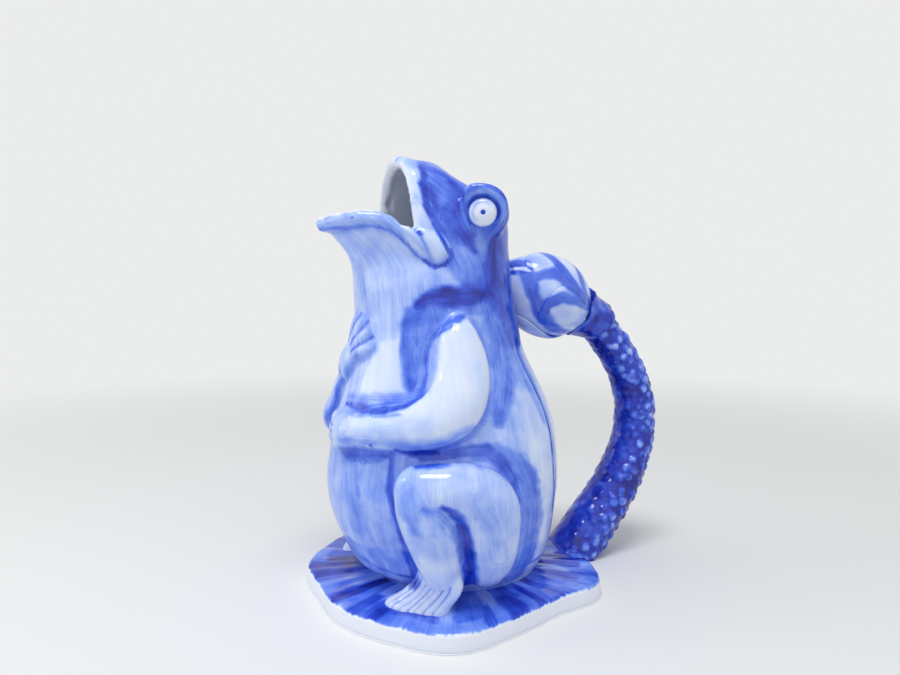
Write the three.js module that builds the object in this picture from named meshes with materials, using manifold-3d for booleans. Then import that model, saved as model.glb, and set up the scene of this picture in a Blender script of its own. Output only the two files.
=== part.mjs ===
// Frog pitcher: a hollow ceramic frog that squats on a lily pad and pours through its wide open mouth.
// The handle is a knobbly water-lily stem, and the bud on its end leans on the frog's nape.
// Every piece is a separate clay casting or roll, luted to its neighbours with a thin layer of slip.
// Millimetres, +Z up, the frog faces -Y and its left side is +X. The origin is on the table, under the body.
import * as THREE from "three";
import { ParametricGeometry } from "three/addons/geometries/ParametricGeometry.js";
import { mergeVertices } from "three/addons/utils/BufferGeometryUtils.js";
import Module from "manifold-3d";

const wasm = await Module();
wasm.setup();

const { degToRad, lerp, clamp } = THREE.MathUtils;
const LEFT = 1;
const RIGHT = -1;

// Clay: the slip between two pieces, and the walls of the castings
const LUTE_GAP = 0.3;
const WALL = 5;
const FLOOR = 6;

// Lily pad: a thick slab, slightly crowned, whose edge swells and draws in. A turn is in degrees from the
// front towards the frog's left, here and below.
const PAD_THICKNESS = 9;
const PAD_CROWN = 1.5;
const PAD_SLOPE = 26;
const PAD_EDGE_ROUND = 1.6;
const PAD_RADIUS = 80;
const PAD_SWELLS = [
  { turn: 0, swell: 0 },
  { turn: 21, swell: 3.5 },
  { turn: 43, swell: 4.5 },
  { turn: 66, swell: 8.5 },
  { turn: 90, swell: -4 },
  { turn: 113, swell: -7.5 },
  { turn: 134, swell: 4 },
  { turn: 155, swell: -1 },
  { turn: 180, swell: -4.5 },
  { turn: 203, swell: -1 },
  { turn: 226, swell: 4 },
  { turn: 248, swell: -5 },
  { turn: 270, swell: -2 },
  { turn: 292, swell: 5 },
  { turn: 315, swell: 3 },
  { turn: 338, swell: 5.5 },
];
const SEAT = PAD_THICKNESS + PAD_CROWN + LUTE_GAP;

// The frog's body and head as one outline, in level sections. Each row gives the height above the pad, the
// middle of the section, its front and back along Y, and its half width.
const OUTLINE = [
  { up: 0, mid: 1, front: -46, back: 47, side: 45 }, // foot
  { up: 7, mid: -2, front: -57, back: 52, side: 50 }, // hip
  { up: 17, mid: -4, front: -63, back: 55, side: 54 }, // low belly
  { up: 33, mid: -6.5, front: -71, back: 57.5, side: 57 }, // belly
  { up: 50, mid: -7.5, front: -74.5, back: 59.5, side: 58 }, // widest
  { up: 73, mid: -7, front: -72, back: 58.5, side: 55 }, // waist
  { up: 89, mid: -6.5, front: -67, back: 54.5, side: 51 }, // ribs
  { up: 106, mid: -7.5, front: -62, back: 46.5, side: 46 }, // chest
  { up: 121, mid: -10, front: -59, back: 39, side: 42 }, // collar
  { up: 139, mid: -11.5, front: -57.5, back: 35, side: 39 }, // neck
  { up: 155, mid: -12.5, front: -58, back: 32.5, side: 37 }, // throat
  { up: 166, mid: -12.5, front: -59, back: 31.5, side: 35.5 }, // gullet
  { up: 174, mid: -12, front: -62, back: 30.5, side: 34.5 }, // jaw root
  { up: 180, mid: -11, front: -67, back: 30, side: 34 }, // jaw
  { up: 185, mid: -9, front: -72, back: 30, side: 33.5 }, // chin
  { up: 189, mid: -7, front: -78, back: 29.5, side: 33 }, // lip
  { up: 197, mid: -4, front: -82, back: 27.5, side: 30.5 }, // cheek
  { up: 205, mid: -8, front: -78, back: 17, side: 27.5 }, // eye line
  { up: 213.5, mid: -16, front: -66, back: 2, side: 23 }, // brow
  { up: 219, mid: -22, front: -57, back: -6, side: 17.5 }, // crown
  { up: 223, mid: -26, front: -48, back: -13, side: 10.5 }, // peak
  { up: 225, mid: -30, front: -30, back: -30, side: 0 }, // top
];
const BODY_TOP = 158;
const HEAD_TOP = OUTLINE.at(-1).up;
const SNOUT_PINCH = 0.15;

// Mouth: the lower lip's line seen from the side, and the lean of the upper lip's arch
const MOUTH_CORNER = { y: -25, up: 172 };
const LIP_LINE = [
  { y: -100, up: 187 },
  { y: -77, up: 188 },
  { y: -57, up: 190.5 },
  { y: -41, up: 186 },
  MOUTH_CORNER,
];
const ARCH_LEAN = 8.5;
const LOWER_LIP_RADIUS = 4.2;
const UPPER_LIP_RADIUS = 4.4;

// Eyes: a dome on each side of the head, a lid round it, and a flattened ball in its socket
const EYE_DOME = { x: 23, y: 5, up: 195 };
const EYE_DOME_RADIUS = 15;
const EYE_FORWARD_TURN = 24;
const EYE_DROP = 4;
const EYEBALL_RADIUS = 7.4;
const EYEBALL_BULGE = 4.2;
const PUPIL_RADIUS = 1.5;
const LID_WIDTH = 7.6;
const LID_CLEARANCE = -0.3;

// Limbs lie on the body. A station gives its turn round the body, its height above the pad, the lift of the
// limb's middle off the skin, and the limb's half width and half depth.
const LEFT_ARM = [
  { turn: 85, up: 143, lift: -1, wide: 8, deep: 6 },
  { turn: 83, up: 130, lift: 2, wide: 11.5, deep: 8 },
  { turn: 81, up: 112, lift: 3, wide: 13.5, deep: 9.5 },
  { turn: 75, up: 98, lift: 4, wide: 13.5, deep: 10 },
  { turn: 67, up: 90, lift: 4, wide: 11.5, deep: 9.5 },
  { turn: 55, up: 87.5, lift: 3.5, wide: 9.4, deep: 8.5 },
  { turn: 40, up: 87, lift: 3, wide: 8.8, deep: 7.5 },
  { turn: 27, up: 85.5, lift: 2.5, wide: 8.5, deep: 6.5 },
];
const LEFT_PALM = [
  { turn: 29, up: 85.5, lift: 2, wide: 7.5, deep: 5.5 },
  { turn: 19, up: 83.5, lift: 2, wide: 10, deep: 5.8 },
  { turn: 9, up: 80.5, lift: 1.5, wide: 9, deep: 5 },
];
const LEFT_FINGER_TIPS = [
  { turn: -2, up: 89 },
  { turn: -4, up: 81.5 },
  { turn: 1, up: 74 },
  { turn: 10, up: 69.5 },
];
const RIGHT_ARM = [
  { turn: -85, up: 143, lift: -1, wide: 8, deep: 6 },
  { turn: -80, up: 128, lift: 2, wide: 11.5, deep: 8 },
  { turn: -66, up: 106, lift: 3, wide: 13, deep: 9 },
  { turn: -46, up: 88, lift: 2.5, wide: 11.5, deep: 8 },
  { turn: -30, up: 83, lift: 2, wide: 10.5, deep: 7.5 },
  { turn: -19, up: 94, lift: 1.5, wide: 9.5, deep: 6.5 },
  { turn: -12, up: 109, lift: 1.5, wide: 8.5, deep: 6 },
  { turn: -8, up: 120, lift: 1.5, wide: 8, deep: 5.8 },
];
const RIGHT_PALM = [
  { turn: -11, up: 115, lift: 1.5, wide: 7, deep: 5 },
  { turn: -3, up: 125, lift: 1.5, wide: 9.5, deep: 5.8 },
  { turn: 6, up: 131, lift: 1, wide: 8.5, deep: 5 },
];
const RIGHT_FINGER_TIPS = [
  { turn: 9, up: 144 },
  { turn: 18, up: 139.5 },
  { turn: 22, up: 132 },
  { turn: 16, up: 124 },
];
const FINGER_RADIUS = 3.3;
const FINGER_LIFT = 1.2;

// Legs: both are alike, so the turns are those of the left one
const THIGH = [
  { turn: 90, up: 6, lift: 1, wide: 9, deep: 6 },
  { turn: 91, up: 20, lift: 3, wide: 13, deep: 9 },
  { turn: 90.5, up: 37, lift: 5, wide: 14.5, deep: 11 },
  { turn: 87, up: 50.5, lift: 6, wide: 14, deep: 12 },
  { turn: 79, up: 58, lift: 6, wide: 12.5, deep: 12 },
  { turn: 69, up: 60, lift: 7, wide: 11, deep: 11.5 },
  { turn: 58, up: 60, lift: 7, wide: 10, deep: 10.5 },
];
const SHIN = [
  { turn: 56, up: 69, lift: 6, wide: 8.5, deep: 8 },
  { turn: 58, up: 60, lift: 9, wide: 10, deep: 10 },
  { turn: 60, up: 48, lift: 10, wide: 11, deep: 10 },
  { turn: 63, up: 35, lift: 10, wide: 11, deep: 9.5 },
  { turn: 65, up: 22, lift: 10, wide: 10, deep: 9 },
  { turn: 65, up: 12, lift: 10, wide: 9.5, deep: 8.5 },
];
const ANKLE = { turn: 65, up: 19, lift: 10, wide: 10, deep: 9 };
const TOES = [
  { turn: -34, length: 28 },
  { turn: -15, length: 24 },
  { turn: 6, length: 18.5 },
  { turn: 34, length: 14 },
];
const TOE_RADIUS = 4.6;
const TOE_SUNK = 2;

// Handle: the stem leaves the pad's rear edge, swings out behind the frog and ends in the bud
const STEM_FOOT = { outside: -4, up: -17, radius: 15.5 };
const STEM_BENDS = [
  { y: 97, up: 11, radius: 14.8 },
  { y: 109, up: 25, radius: 13.8 },
  { y: 119, up: 41, radius: 12.8 },
  { y: 125.5, up: 58, radius: 12 },
  { y: 127.5, up: 74, radius: 11.5 },
  { y: 126, up: 88, radius: 11 },
  { y: 119.5, up: 104, radius: 10.6 },
  { y: 110, up: 118, radius: 10.3 },
  { y: 99, up: 130, radius: 10.2 },
];
const STEM_END_RADIUS = 10;
const KNOB_HEIGHT = 1.4;
const KNOBS_ROUND = 8;
const KNOB_PITCH = 8;

// Bud: an egg whose blunt tip is bedded on the nape, wrapped in petals, in a cup on the stem's end
const BUD_TIP_UP = 165;
const BUD_BEDDED = 8;
const BUD_LENGTH = 69;
const BUD_RADIUS = 23;
const BUD_DROOP = 22;
const PETAL_COUNT = 5;
const PETAL_THICK = 2.2;
const PETAL_WIDE = 13.5;
const PETAL_FIRST_TURN = 20;
const CALYX_LENGTH = 15;
const CALYX_WALL = 2.5;
const CALYX_FLARE = 5;

// Fineness: facets round and along each kind of piece
const FINE = {
  casting: [32, 17],
  cavity: [24, 10],
  pad: 64,
  limb: [12, 12],
  digit: [8, 6],
  lip: [8, 22],
  eye: [14, 8],
  petal: [8, 8],
  bud: [20, 12],
};
const FACET_MERGE = 0.08;

// A smooth value between the rows of a table, which are sorted by their key
function smooth(rows, key, field, at) {
  const last = rows.length - 1;
  if (at <= rows[0][key]) return rows[0][field];
  if (at >= rows[last][key]) return rows[last][field];
  const i = rows.findIndex((row) => row[key] > at) - 1;
  const slope = (a, b) => (rows[b][field] - rows[a][field]) / (rows[b][key] - rows[a][key]);
  const step = rows[i + 1][key] - rows[i][key];
  const t = (at - rows[i][key]) / step;
  const slopeIn = slope(Math.max(i - 1, 0), i + 1) * step;
  const slopeOut = slope(i, Math.min(i + 2, last)) * step;
  const start = rows[i][field];
  const rise = rows[i + 1][field] - start;
  const bend = (3 * rise - 2 * slopeIn - slopeOut) * t ** 2;
  return start + slopeIn * t + bend + (slopeIn + slopeOut - 2 * rise) * t ** 3;
}

// A closed three.js geometry becomes a solid that can be cut and joined, and back
function solidOf(geometry) {
  const bare = geometry.clone();
  bare.deleteAttribute("normal");
  bare.deleteAttribute("uv");
  const merged = mergeVertices(bare);
  const corners = merged.index.array;
  const triangles = [];
  for (let i = 0; i < corners.length; i += 3) {
    const [a, b, c] = corners.subarray(i, i + 3);
    if (a !== b && b !== c && c !== a) triangles.push(a, b, c);
  }
  return new wasm.Manifold(new wasm.Mesh({
    numProp: 3,
    vertProperties: merged.attributes.position.array,
    triVerts: new Uint32Array(triangles),
  }));
}

function geometryOf(solid) {
  const mesh = solid.getMesh();
  const geometry = new THREE.BufferGeometry();
  geometry.setAttribute("position", new THREE.BufferAttribute(mesh.vertProperties, mesh.numProp));
  geometry.setIndex(new THREE.BufferAttribute(mesh.triVerts, 1));
  geometry.computeVertexNormals();
  return geometry;
}

function surfaceSolid(pointAt, [round, along]) {
  return solidOf(new ParametricGeometry(pointAt, round, along));
}

// What a cut leaves of a piece, without the crumbs that it may shear off
function mainBody(solid) {
  return solid.decompose().reduce((kept, body) => (body.volume() > kept.volume() ? body : kept));
}

// The frog's skin. Towards the front of the head a section is drawn in, to give the narrow snout.
function sectionAt(up, grow = 0) {
  const mid = smooth(OUTLINE, "up", "mid", up);
  const snout = clamp((up - BODY_TOP) / (MOUTH_CORNER.up - BODY_TOP), 0, 1);
  return {
    mid,
    front: mid - smooth(OUTLINE, "up", "front", up) + grow,
    back: smooth(OUTLINE, "up", "back", up) - mid + grow,
    side: smooth(OUTLINE, "up", "side", up) + grow,
    pinch: SNOUT_PINCH * snout,
  };
}

function sectionPoint({ mid, front, back, side, pinch }, turn, up, target) {
  const forward = Math.cos(turn);
  const reach = forward > 0 ? front : back;
  const drawnIn = 1 - pinch * Math.max(forward, 0);
  return target.set(side * drawnIn * Math.sin(turn), mid - reach * forward, SEAT + up);
}

function skinPoint(turn, up, grow, target) {
  return sectionPoint(sectionAt(up, grow), turn, up, target);
}

function halfWidthAt(y, up) {
  const { mid, front, back, side, pinch } = sectionAt(up);
  const forward = y < mid ? (mid - y) / front : (mid - y) / back;
  const drawnIn = 1 - pinch * Math.max(forward, 0);
  return Math.abs(forward) < 1 ? side * drawnIn * Math.sqrt(1 - forward ** 2) : 0;
}

// A closed solid between two heights, with level ends, whose sections come from pointAt(turn, up, target)
function sectionSolid(pointAt, lowUp, highUp, [round, along]) {
  const rings = along + 2;
  return surfaceSolid((u, v, target) => {
    const ring = Math.round(v * rings);
    const share = clamp((ring - 1) / along, 0, 1);
    pointAt(2 * Math.PI * u, lerp(lowUp, highUp, share), target);
    if (ring === 0 || ring === rings) target.setX(0).setY(sectionAt(share ? highUp : lowUp).mid);
  }, [round, rings]);
}

function skinSolid(lowUp, highUp, grow) {
  return sectionSolid((turn, up, target) => skinPoint(turn, up, grow, target), lowUp, highUp, FINE.casting);
}

// The hollow keeps its wall where the skin slopes, so it takes the least of three nearby sections
function cavityPoint(turn, up, shrink, target) {
  const near = [up - WALL, up, up + WALL].map((level) => sectionAt(level, -WALL - shrink));
  const least = (field) => Math.max(Math.min(...near.map((section) => section[field])), 1);
  const { mid, pinch } = near[1];
  const section = { mid, pinch, front: least("front"), back: least("back"), side: least("side") };
  return sectionPoint(section, turn, up, target);
}

function cavitySolid(lowUp, highUp, shrink) {
  const pointAt = (turn, up, target) => cavityPoint(turn, up, shrink, target);
  return sectionSolid(pointAt, lowUp, highUp, FINE.cavity);
}

// Mouth: the side view of the gape, cut straight through the head
function lipHeight(y) {
  return smooth(LIP_LINE, "y", "up", y);
}

function archY(up) {
  return MOUTH_CORNER.y - ARCH_LEAN * (up - MOUTH_CORNER.up) / (HEAD_TOP - MOUTH_CORNER.up);
}

function gapeSolid(shrink) {
  const STEPS = 16;
  const PAST_TOP = HEAD_TOP + 2 * WALL;
  const farY = LIP_LINE[0].y;
  const outline = new THREE.Shape();
  outline.moveTo(farY, lipHeight(farY) + shrink);
  for (let i = 1; i <= STEPS; i++) {
    const y = lerp(farY, MOUTH_CORNER.y - shrink, i / STEPS);
    outline.lineTo(y, lipHeight(y) + shrink);
  }
  outline.lineTo(archY(PAST_TOP) - shrink, PAST_TOP);
  outline.lineTo(farY, PAST_TOP);
  const width = 4 * sectionAt(MOUTH_CORNER.up).side;
  const block = new THREE.ExtrudeGeometry(outline, { depth: width, bevelEnabled: false });
  const [x, y, z] = [new THREE.Vector3(1, 0, 0), new THREE.Vector3(0, 1, 0), new THREE.Vector3(0, 0, 1)];
  block.translate(0, SEAT, -width / 2).applyMatrix4(new THREE.Matrix4().makeBasis(y, z, x));
  return solidOf(block);
}

// Eyes
function eyeFrame(side) {
  const turn = degToRad(EYE_FORWARD_TURN);
  const drop = degToRad(EYE_DROP);
  const level = Math.cos(drop);
  const gaze = new THREE.Vector3(side * Math.cos(turn) * level, -Math.sin(turn) * level, -Math.sin(drop));
  const centre = new THREE.Vector3(side * EYE_DOME.x, EYE_DOME.y, SEAT + EYE_DOME.up);
  const socket = centre.clone().addScaledVector(gaze, EYE_DOME_RADIUS);
  const aim = new THREE.Quaternion().setFromUnitVectors(new THREE.Vector3(0, 0, 1), gaze);
  return { gaze, centre, socket, aim };
}

function eyeDome(side, grow) {
  const dome = new THREE.SphereGeometry(EYE_DOME_RADIUS + grow, ...FINE.eye);
  return solidOf(dome.translate(...eyeFrame(side).centre));
}

function eyeball(side, grow) {
  const { aim, socket } = eyeFrame(side);
  const ball = new THREE.SphereGeometry(1, ...FINE.eye).rotateX(Math.PI / 2);
  ball.scale(EYEBALL_RADIUS + grow, EYEBALL_RADIUS + grow, EYEBALL_BULGE + grow);
  return solidOf(ball.applyQuaternion(aim).translate(...socket));
}

function pupilHole(side) {
  const { gaze, socket } = eyeFrame(side);
  const front = socket.clone().addScaledVector(gaze, EYEBALL_BULGE);
  return solidOf(new THREE.SphereGeometry(PUPIL_RADIUS, ...FINE.digit).translate(...front));
}

function eyelid(side) {
  const { aim, gaze, socket } = eyeFrame(side);
  const [round, along] = FINE.eye;
  const radius = EYEBALL_RADIUS + LID_CLEARANCE + LID_WIDTH / 2;
  const ring = new THREE.TorusGeometry(radius, LID_WIDTH / 2, along, round).applyQuaternion(aim);
  const sunk = radius ** 2 / (2 * EYE_DOME_RADIUS);
  return solidOf(ring.translate(...socket.clone().addScaledVector(gaze, -sunk)));
}

// The head is the top of the frog's skin with its eye domes, hollow and open at the mouth
function headSolid(grow) {
  const low = BODY_TOP + LUTE_GAP - grow;
  let head = skinSolid(low, HEAD_TOP, grow);
  for (const side of [LEFT, RIGHT]) head = head.add(eyeDome(side, grow));
  const hollow = cavitySolid(low - WALL, HEAD_TOP - WALL, grow);
  return head.subtract(hollow).subtract(gapeSolid(grow));
}

// A soft roll through stations, with round ends. Each station has its centre, the direction of its depth,
// and its half width and half depth.
function rollSolid(stations, fineness, grow = 0) {
  const BLUNT = 5;
  const curve = (pick) => new THREE.CatmullRomCurve3(stations.map(pick));
  const centres = curve((station) => station.centre);
  const outs = curve((station) => station.out);
  const sizes = curve((station) => new THREE.Vector3(station.wide + grow, station.deep + grow, 0));
  return surfaceSolid((u, v, target) => {
    const t = (1 - Math.cos(Math.PI * v)) / 2;
    const swell = Math.sqrt(Math.max(1 - Math.abs(2 * t - 1) ** BLUNT, 0));
    const size = sizes.getPoint(t).multiplyScalar(swell);
    const tangent = centres.getTangent(t);
    const across = tangent.clone().cross(outs.getPoint(t)).normalize();
    const normal = across.clone().cross(tangent).normalize();
    target.copy(centres.getPoint(t));
    target.addScaledVector(across, size.x * Math.cos(2 * Math.PI * u));
    target.addScaledVector(normal, -size.y * Math.sin(2 * Math.PI * u));
  }, fineness);
}

// Lips: clay rolls slipped over the mouth's edge, which they follow by the middle of its wall
function lipRoll(edgeAt, out, radius, grow) {
  const STATIONS = 17;
  const stations = [];
  for (let i = 0; i < STATIONS; i++) {
    const angle = lerp(-Math.PI / 2, Math.PI / 2, i / (STATIONS - 1));
    stations.push({ centre: edgeAt(angle), out, wide: radius, deep: radius });
  }
  return rollSolid(stations, FINE.lip, grow);
}

// How far a ray stays inside the skin, less half the wall. The ray's places come from placeAt(distance).
function wallMiddle(placeAt) {
  const NEAR_ENOUGH = 0.01;
  let inside = 0;
  let outside = HEAD_TOP;
  while (outside - inside > NEAR_ENOUGH) {
    const distance = (inside + outside) / 2;
    const { x, y, z } = placeAt(distance);
    if (Math.abs(x) < halfWidthAt(y, z - SEAT)) inside = distance;
    else outside = distance;
  }
  return placeAt(inside - WALL / 2);
}

function lowerLipEdge(angle) {
  return wallMiddle((distance) => {
    const y = MOUTH_CORNER.y - distance * Math.cos(angle);
    return new THREE.Vector3(distance * Math.sin(angle), y, SEAT + lipHeight(y));
  });
}

function upperLipEdge(angle) {
  return wallMiddle((distance) => {
    const up = MOUTH_CORNER.up + distance * Math.cos(angle);
    return new THREE.Vector3(distance * Math.sin(angle), archY(up), SEAT + up);
  });
}

function lowerLipRoll(grow = 0) {
  return lipRoll(lowerLipEdge, new THREE.Vector3(0, 0, 1), LOWER_LIP_RADIUS, grow);
}

function upperLipRoll() {
  return lipRoll(upperLipEdge, new THREE.Vector3(0, -1, 0), UPPER_LIP_RADIUS, 0);
}

// Limbs: a station on the skin becomes a centre lifted off it, along the skin's outward direction
function onSkin({ turn, up, lift, wide, deep }) {
  const SMALL_TURN = 0.01;
  const SMALL_RISE = 0.5;
  const angle = degToRad(turn);
  const point = (a, level) => skinPoint(a, level, 0, new THREE.Vector3());
  const round = point(angle + SMALL_TURN, up).sub(point(angle - SMALL_TURN, up));
  const rising = point(angle, up + SMALL_RISE).sub(point(angle, up - SMALL_RISE));
  const out = round.cross(rising).normalize();
  return { centre: point(angle, up).addScaledVector(out, lift), out, wide, deep };
}

function limbSolid(stations, grow = 0) {
  return rollSolid(stations.map(onSkin), FINE.limb, grow);
}

function handSolid(palm, tips, grow = 0) {
  const [, root, knuckles] = palm;
  const digit = { lift: FINGER_LIFT, wide: FINGER_RADIUS, deep: FINGER_RADIUS };
  let hand = limbSolid(palm, grow);
  for (const tip of tips) {
    const bend = { turn: (knuckles.turn + tip.turn) / 2, up: (knuckles.up + tip.up) / 2 };
    const stations = [root, bend, tip].map((place) => onSkin({ ...place, ...digit }));
    hand = hand.add(rollSolid(stations, FINE.digit, grow));
  }
  return hand;
}

// The other leg's stations are the same with the turns reversed
function onSide(stations, side) {
  return stations.map((station) => ({ ...station, turn: side * station.turn }));
}

function footSolid(side, grow = 0) {
  const [ankle] = onSide([ANKLE], side).map(onSkin);
  const ARCH_SHARE = 0.35;
  const out = new THREE.Vector3(0, 0, 1);
  const tipHeight = SEAT + TOE_RADIUS - TOE_SUNK;
  const archHeight = lerp(tipHeight, ankle.centre.z, ARCH_SHARE);
  const toes = TOES.map(({ turn, length }) => {
    const angle = degToRad(turn);
    const way = new THREE.Vector3(side * Math.sin(angle), -Math.cos(angle), 0);
    const tip = ankle.centre.clone().addScaledVector(way, length).setZ(tipHeight);
    const arch = ankle.centre.clone().addScaledVector(way, length / 2).setZ(archHeight);
    const stations = [ankle.centre, arch, tip].map((centre, i) => {
      const radius = lerp(ANKLE.deep, TOE_RADIUS, i / 2);
      return { centre, out, wide: radius, deep: radius };
    });
    return rollSolid(stations, FINE.digit, grow);
  });
  return wasm.Manifold.union(toes);
}

// Lily pad
const padEdge = new THREE.CatmullRomCurve3(PAD_SWELLS.map(({ turn, swell }) => {
  const angle = degToRad(turn);
  return new THREE.Vector3(Math.sin(angle), -Math.cos(angle), 0).multiplyScalar(PAD_RADIUS + swell);
}), true);
const padBack = PAD_RADIUS + PAD_SWELLS.find(({ turn }) => turn === 180).swell;

function padSolid(grow = 0) {
  const profile = [
    { inset: Infinity, z: -grow },
    { inset: PAD_EDGE_ROUND - grow, z: -grow },
    { inset: -grow, z: PAD_EDGE_ROUND },
    { inset: -grow, z: PAD_THICKNESS - PAD_EDGE_ROUND },
    { inset: PAD_EDGE_ROUND - grow, z: PAD_THICKNESS + grow },
    { inset: PAD_SLOPE, z: PAD_THICKNESS + PAD_CROWN + grow },
    { inset: Infinity, z: PAD_THICKNESS + PAD_CROWN + grow },
  ];
  const rings = profile.length - 1;
  return surfaceSolid((u, v, target) => {
    const { inset, z } = profile[Math.round(v * rings)];
    const edge = padEdge.getPoint(u % 1);
    target.copy(edge).multiplyScalar(Math.max(1 - inset / edge.length(), 0)).setZ(z);
  }, [FINE.pad, rings]);
}

// Bud
const napeY = smooth(OUTLINE, "up", "back", BUD_TIP_UP);
const budTip = new THREE.Vector3(0, napeY - BUD_BEDDED, SEAT + BUD_TIP_UP);
const budAxis = new THREE.Vector3(0, -Math.cos(degToRad(BUD_DROOP)), Math.sin(degToRad(BUD_DROOP)));
const budBase = budTip.clone().addScaledVector(budAxis, -BUD_LENGTH);

// A point on the egg: along runs from its base, 0, to its tip, 1
function budPoint(turn, along, grow, target) {
  const FATTEST = 0.85;
  const FULLNESS = 0.62;
  const radius = (BUD_RADIUS + grow) * Math.sin(Math.PI * along ** FATTEST) ** FULLNESS;
  const sideways = new THREE.Vector3(1, 0, 0);
  const upward = budAxis.clone().cross(sideways);
  target.lerpVectors(budBase, budTip, along);
  target.addScaledVector(sideways, radius * Math.sin(turn));
  return target.addScaledVector(upward, radius * Math.cos(turn));
}

function budSolid(grow = 0) {
  return surfaceSolid((u, v, target) => {
    budPoint(-2 * Math.PI * u, (1 - Math.cos(Math.PI * v)) / 2, grow, target);
  }, FINE.bud);
}

function petalSolid(turn) {
  const START = 0.12;
  const END = 0.84;
  const WIDTHS = [0.6, 0.95, 1, 0.8, 0.3];
  const stations = WIDTHS.map((share, i) => {
    const along = lerp(START, END, i / (WIDTHS.length - 1));
    const centre = budPoint(turn, along, 0, new THREE.Vector3());
    const out = centre.clone().sub(new THREE.Vector3().lerpVectors(budBase, budTip, along)).normalize();
    return { centre, out, wide: PETAL_WIDE * share, deep: PETAL_THICK };
  });
  return rollSolid(stations, FINE.petal);
}

function calyxSolid(grow = 0) {
  const SHARES = [-0.5, -0.15, 0.2, 0.6];
  const out = new THREE.Vector3(1, 0, 0);
  const stations = SHARES.map((share) => {
    const centre = budBase.clone().addScaledVector(budAxis, share * CALYX_LENGTH);
    const radius = STEM_END_RADIUS + KNOB_HEIGHT + CALYX_WALL + CALYX_FLARE * Math.max(share, 0);
    return { centre, out, wide: radius, deep: radius };
  });
  return rollSolid(stations, FINE.limb, grow);
}

// Handle
const stemStations = [
  { ...STEM_FOOT, y: padBack + STEM_FOOT.outside },
  ...STEM_BENDS,
  { y: budBase.y, up: budBase.z - SEAT, radius: STEM_END_RADIUS },
];

function stemSolid(grow = 0) {
  const across = new THREE.Vector3(1, 0, 0);
  const curve = (pick) => new THREE.CatmullRomCurve3(stemStations.map(pick));
  const middle = curve(({ y, up }) => new THREE.Vector3(0, y, SEAT + up));
  const sizes = curve(({ radius }) => new THREE.Vector3(radius + grow, 0, 0));
  const round = 2 * KNOBS_ROUND;
  const along = 2 * Math.round(middle.getLength() / KNOB_PITCH);
  return surfaceSolid((u, v, target) => {
    const ring = clamp(Math.round(v * (along + 2)) - 1, 0, along);
    const column = Math.round(u * round);
    const isEnd = v === 0 || v === 1;
    const isKnob = ring > 1 && ring < along - 1 && ring % 2 === 0 && (ring / 2 + column) % 2 === 0;
    const t = ring / along;
    const radius = isEnd ? 0 : sizes.getPoint(t).x + (isKnob ? KNOB_HEIGHT : 0);
    const normal = across.clone().cross(middle.getTangent(t)).normalize();
    const angle = (2 * Math.PI * column) / round;
    target.copy(middle.getPoint(t));
    target.addScaledVector(across, -radius * Math.cos(angle));
    target.addScaledVector(normal, radius * Math.sin(angle));
  }, [round, along + 2]);
}

// All that lies under the table's top
function underTable() {
  const depth = 4 * STEM_FOOT.radius;
  return solidOf(new THREE.BoxGeometry(4 * PAD_RADIUS, 4 * PAD_RADIUS, depth).translate(0, 0, -depth / 2));
}

// Glazes
const glaze = (color) => new THREE.MeshStandardMaterial({ color, roughness: 0.12, metalness: 0 });
const PALE_WASH = glaze(0x9fb0e6);
const COBALT = glaze(0x2f46b4);
const PALE_LIP = glaze(0xb9c6ee);
const WHITE = glaze(0xe9ecf6);

const frog = new THREE.Group();
frog.name = "frog_pitcher";

function addPiece(name, solid, material) {
  const mesh = new THREE.Mesh(geometryOf(mainBody(solid.simplify(FACET_MERGE))), material);
  mesh.name = name;
  frog.add(mesh);
}

// Castings: the pad, the body that holds the drink, and the head
const padForCuts = padSolid(LUTE_GAP);
const skinForCuts = skinSolid(0, BODY_TOP, LUTE_GAP).add(skinSolid(BODY_TOP, HEAD_TOP, LUTE_GAP));
const headForCuts = headSolid(LUTE_GAP);
const SIDES = [["left", LEFT], ["right", RIGHT]];
addPiece("lily_pad", padSolid(), COBALT);
addPiece("body_shell", skinSolid(0, BODY_TOP, 0).subtract(cavitySolid(FLOOR, BODY_TOP + WALL, 0)), PALE_WASH);
const sockets = SIDES.map(([, side]) => eyeball(side, LUTE_GAP));
addPiece("head_shell", sockets.reduce((head, socket) => head.subtract(socket), headSolid(0)), COBALT);

// Lips
addPiece("lower_lip", lowerLipRoll().subtract(headForCuts), PALE_LIP);
addPiece("upper_lip", upperLipRoll().subtract(headForCuts).subtract(lowerLipRoll(LUTE_GAP)), PALE_LIP);

// Eyes
for (const [word, side] of SIDES) {
  addPiece(`${word}_eyeball`, eyeball(side, 0).subtract(pupilHole(side)), WHITE);
  const lid = eyelid(side).subtract(headForCuts).subtract(eyeball(side, LUTE_GAP));
  addPiece(`${word}_eyelid`, lid.subtract(skinForCuts), COBALT);
}

// Arms: the left forearm lies across the belly and its hand holds the right elbow
const leftArmForCuts = limbSolid(LEFT_ARM, LUTE_GAP);
const rightArmForCuts = limbSolid(RIGHT_ARM, LUTE_GAP);
const leftHandForCuts = handSolid(LEFT_PALM, LEFT_FINGER_TIPS, LUTE_GAP);
const armsForCuts = leftArmForCuts.add(rightArmForCuts);
const leftHand = handSolid(LEFT_PALM, LEFT_FINGER_TIPS);
const rightHand = handSolid(RIGHT_PALM, RIGHT_FINGER_TIPS);
addPiece("right_arm", limbSolid(RIGHT_ARM).subtract(skinForCuts), PALE_WASH);
addPiece("left_arm", limbSolid(LEFT_ARM).subtract(skinForCuts).subtract(rightArmForCuts), PALE_WASH);
const handsClear = skinForCuts.add(armsForCuts);
addPiece("left_hand", leftHand.subtract(handsClear), PALE_WASH);
addPiece("right_hand", rightHand.subtract(handsClear).subtract(leftHandForCuts), PALE_WASH);

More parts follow.
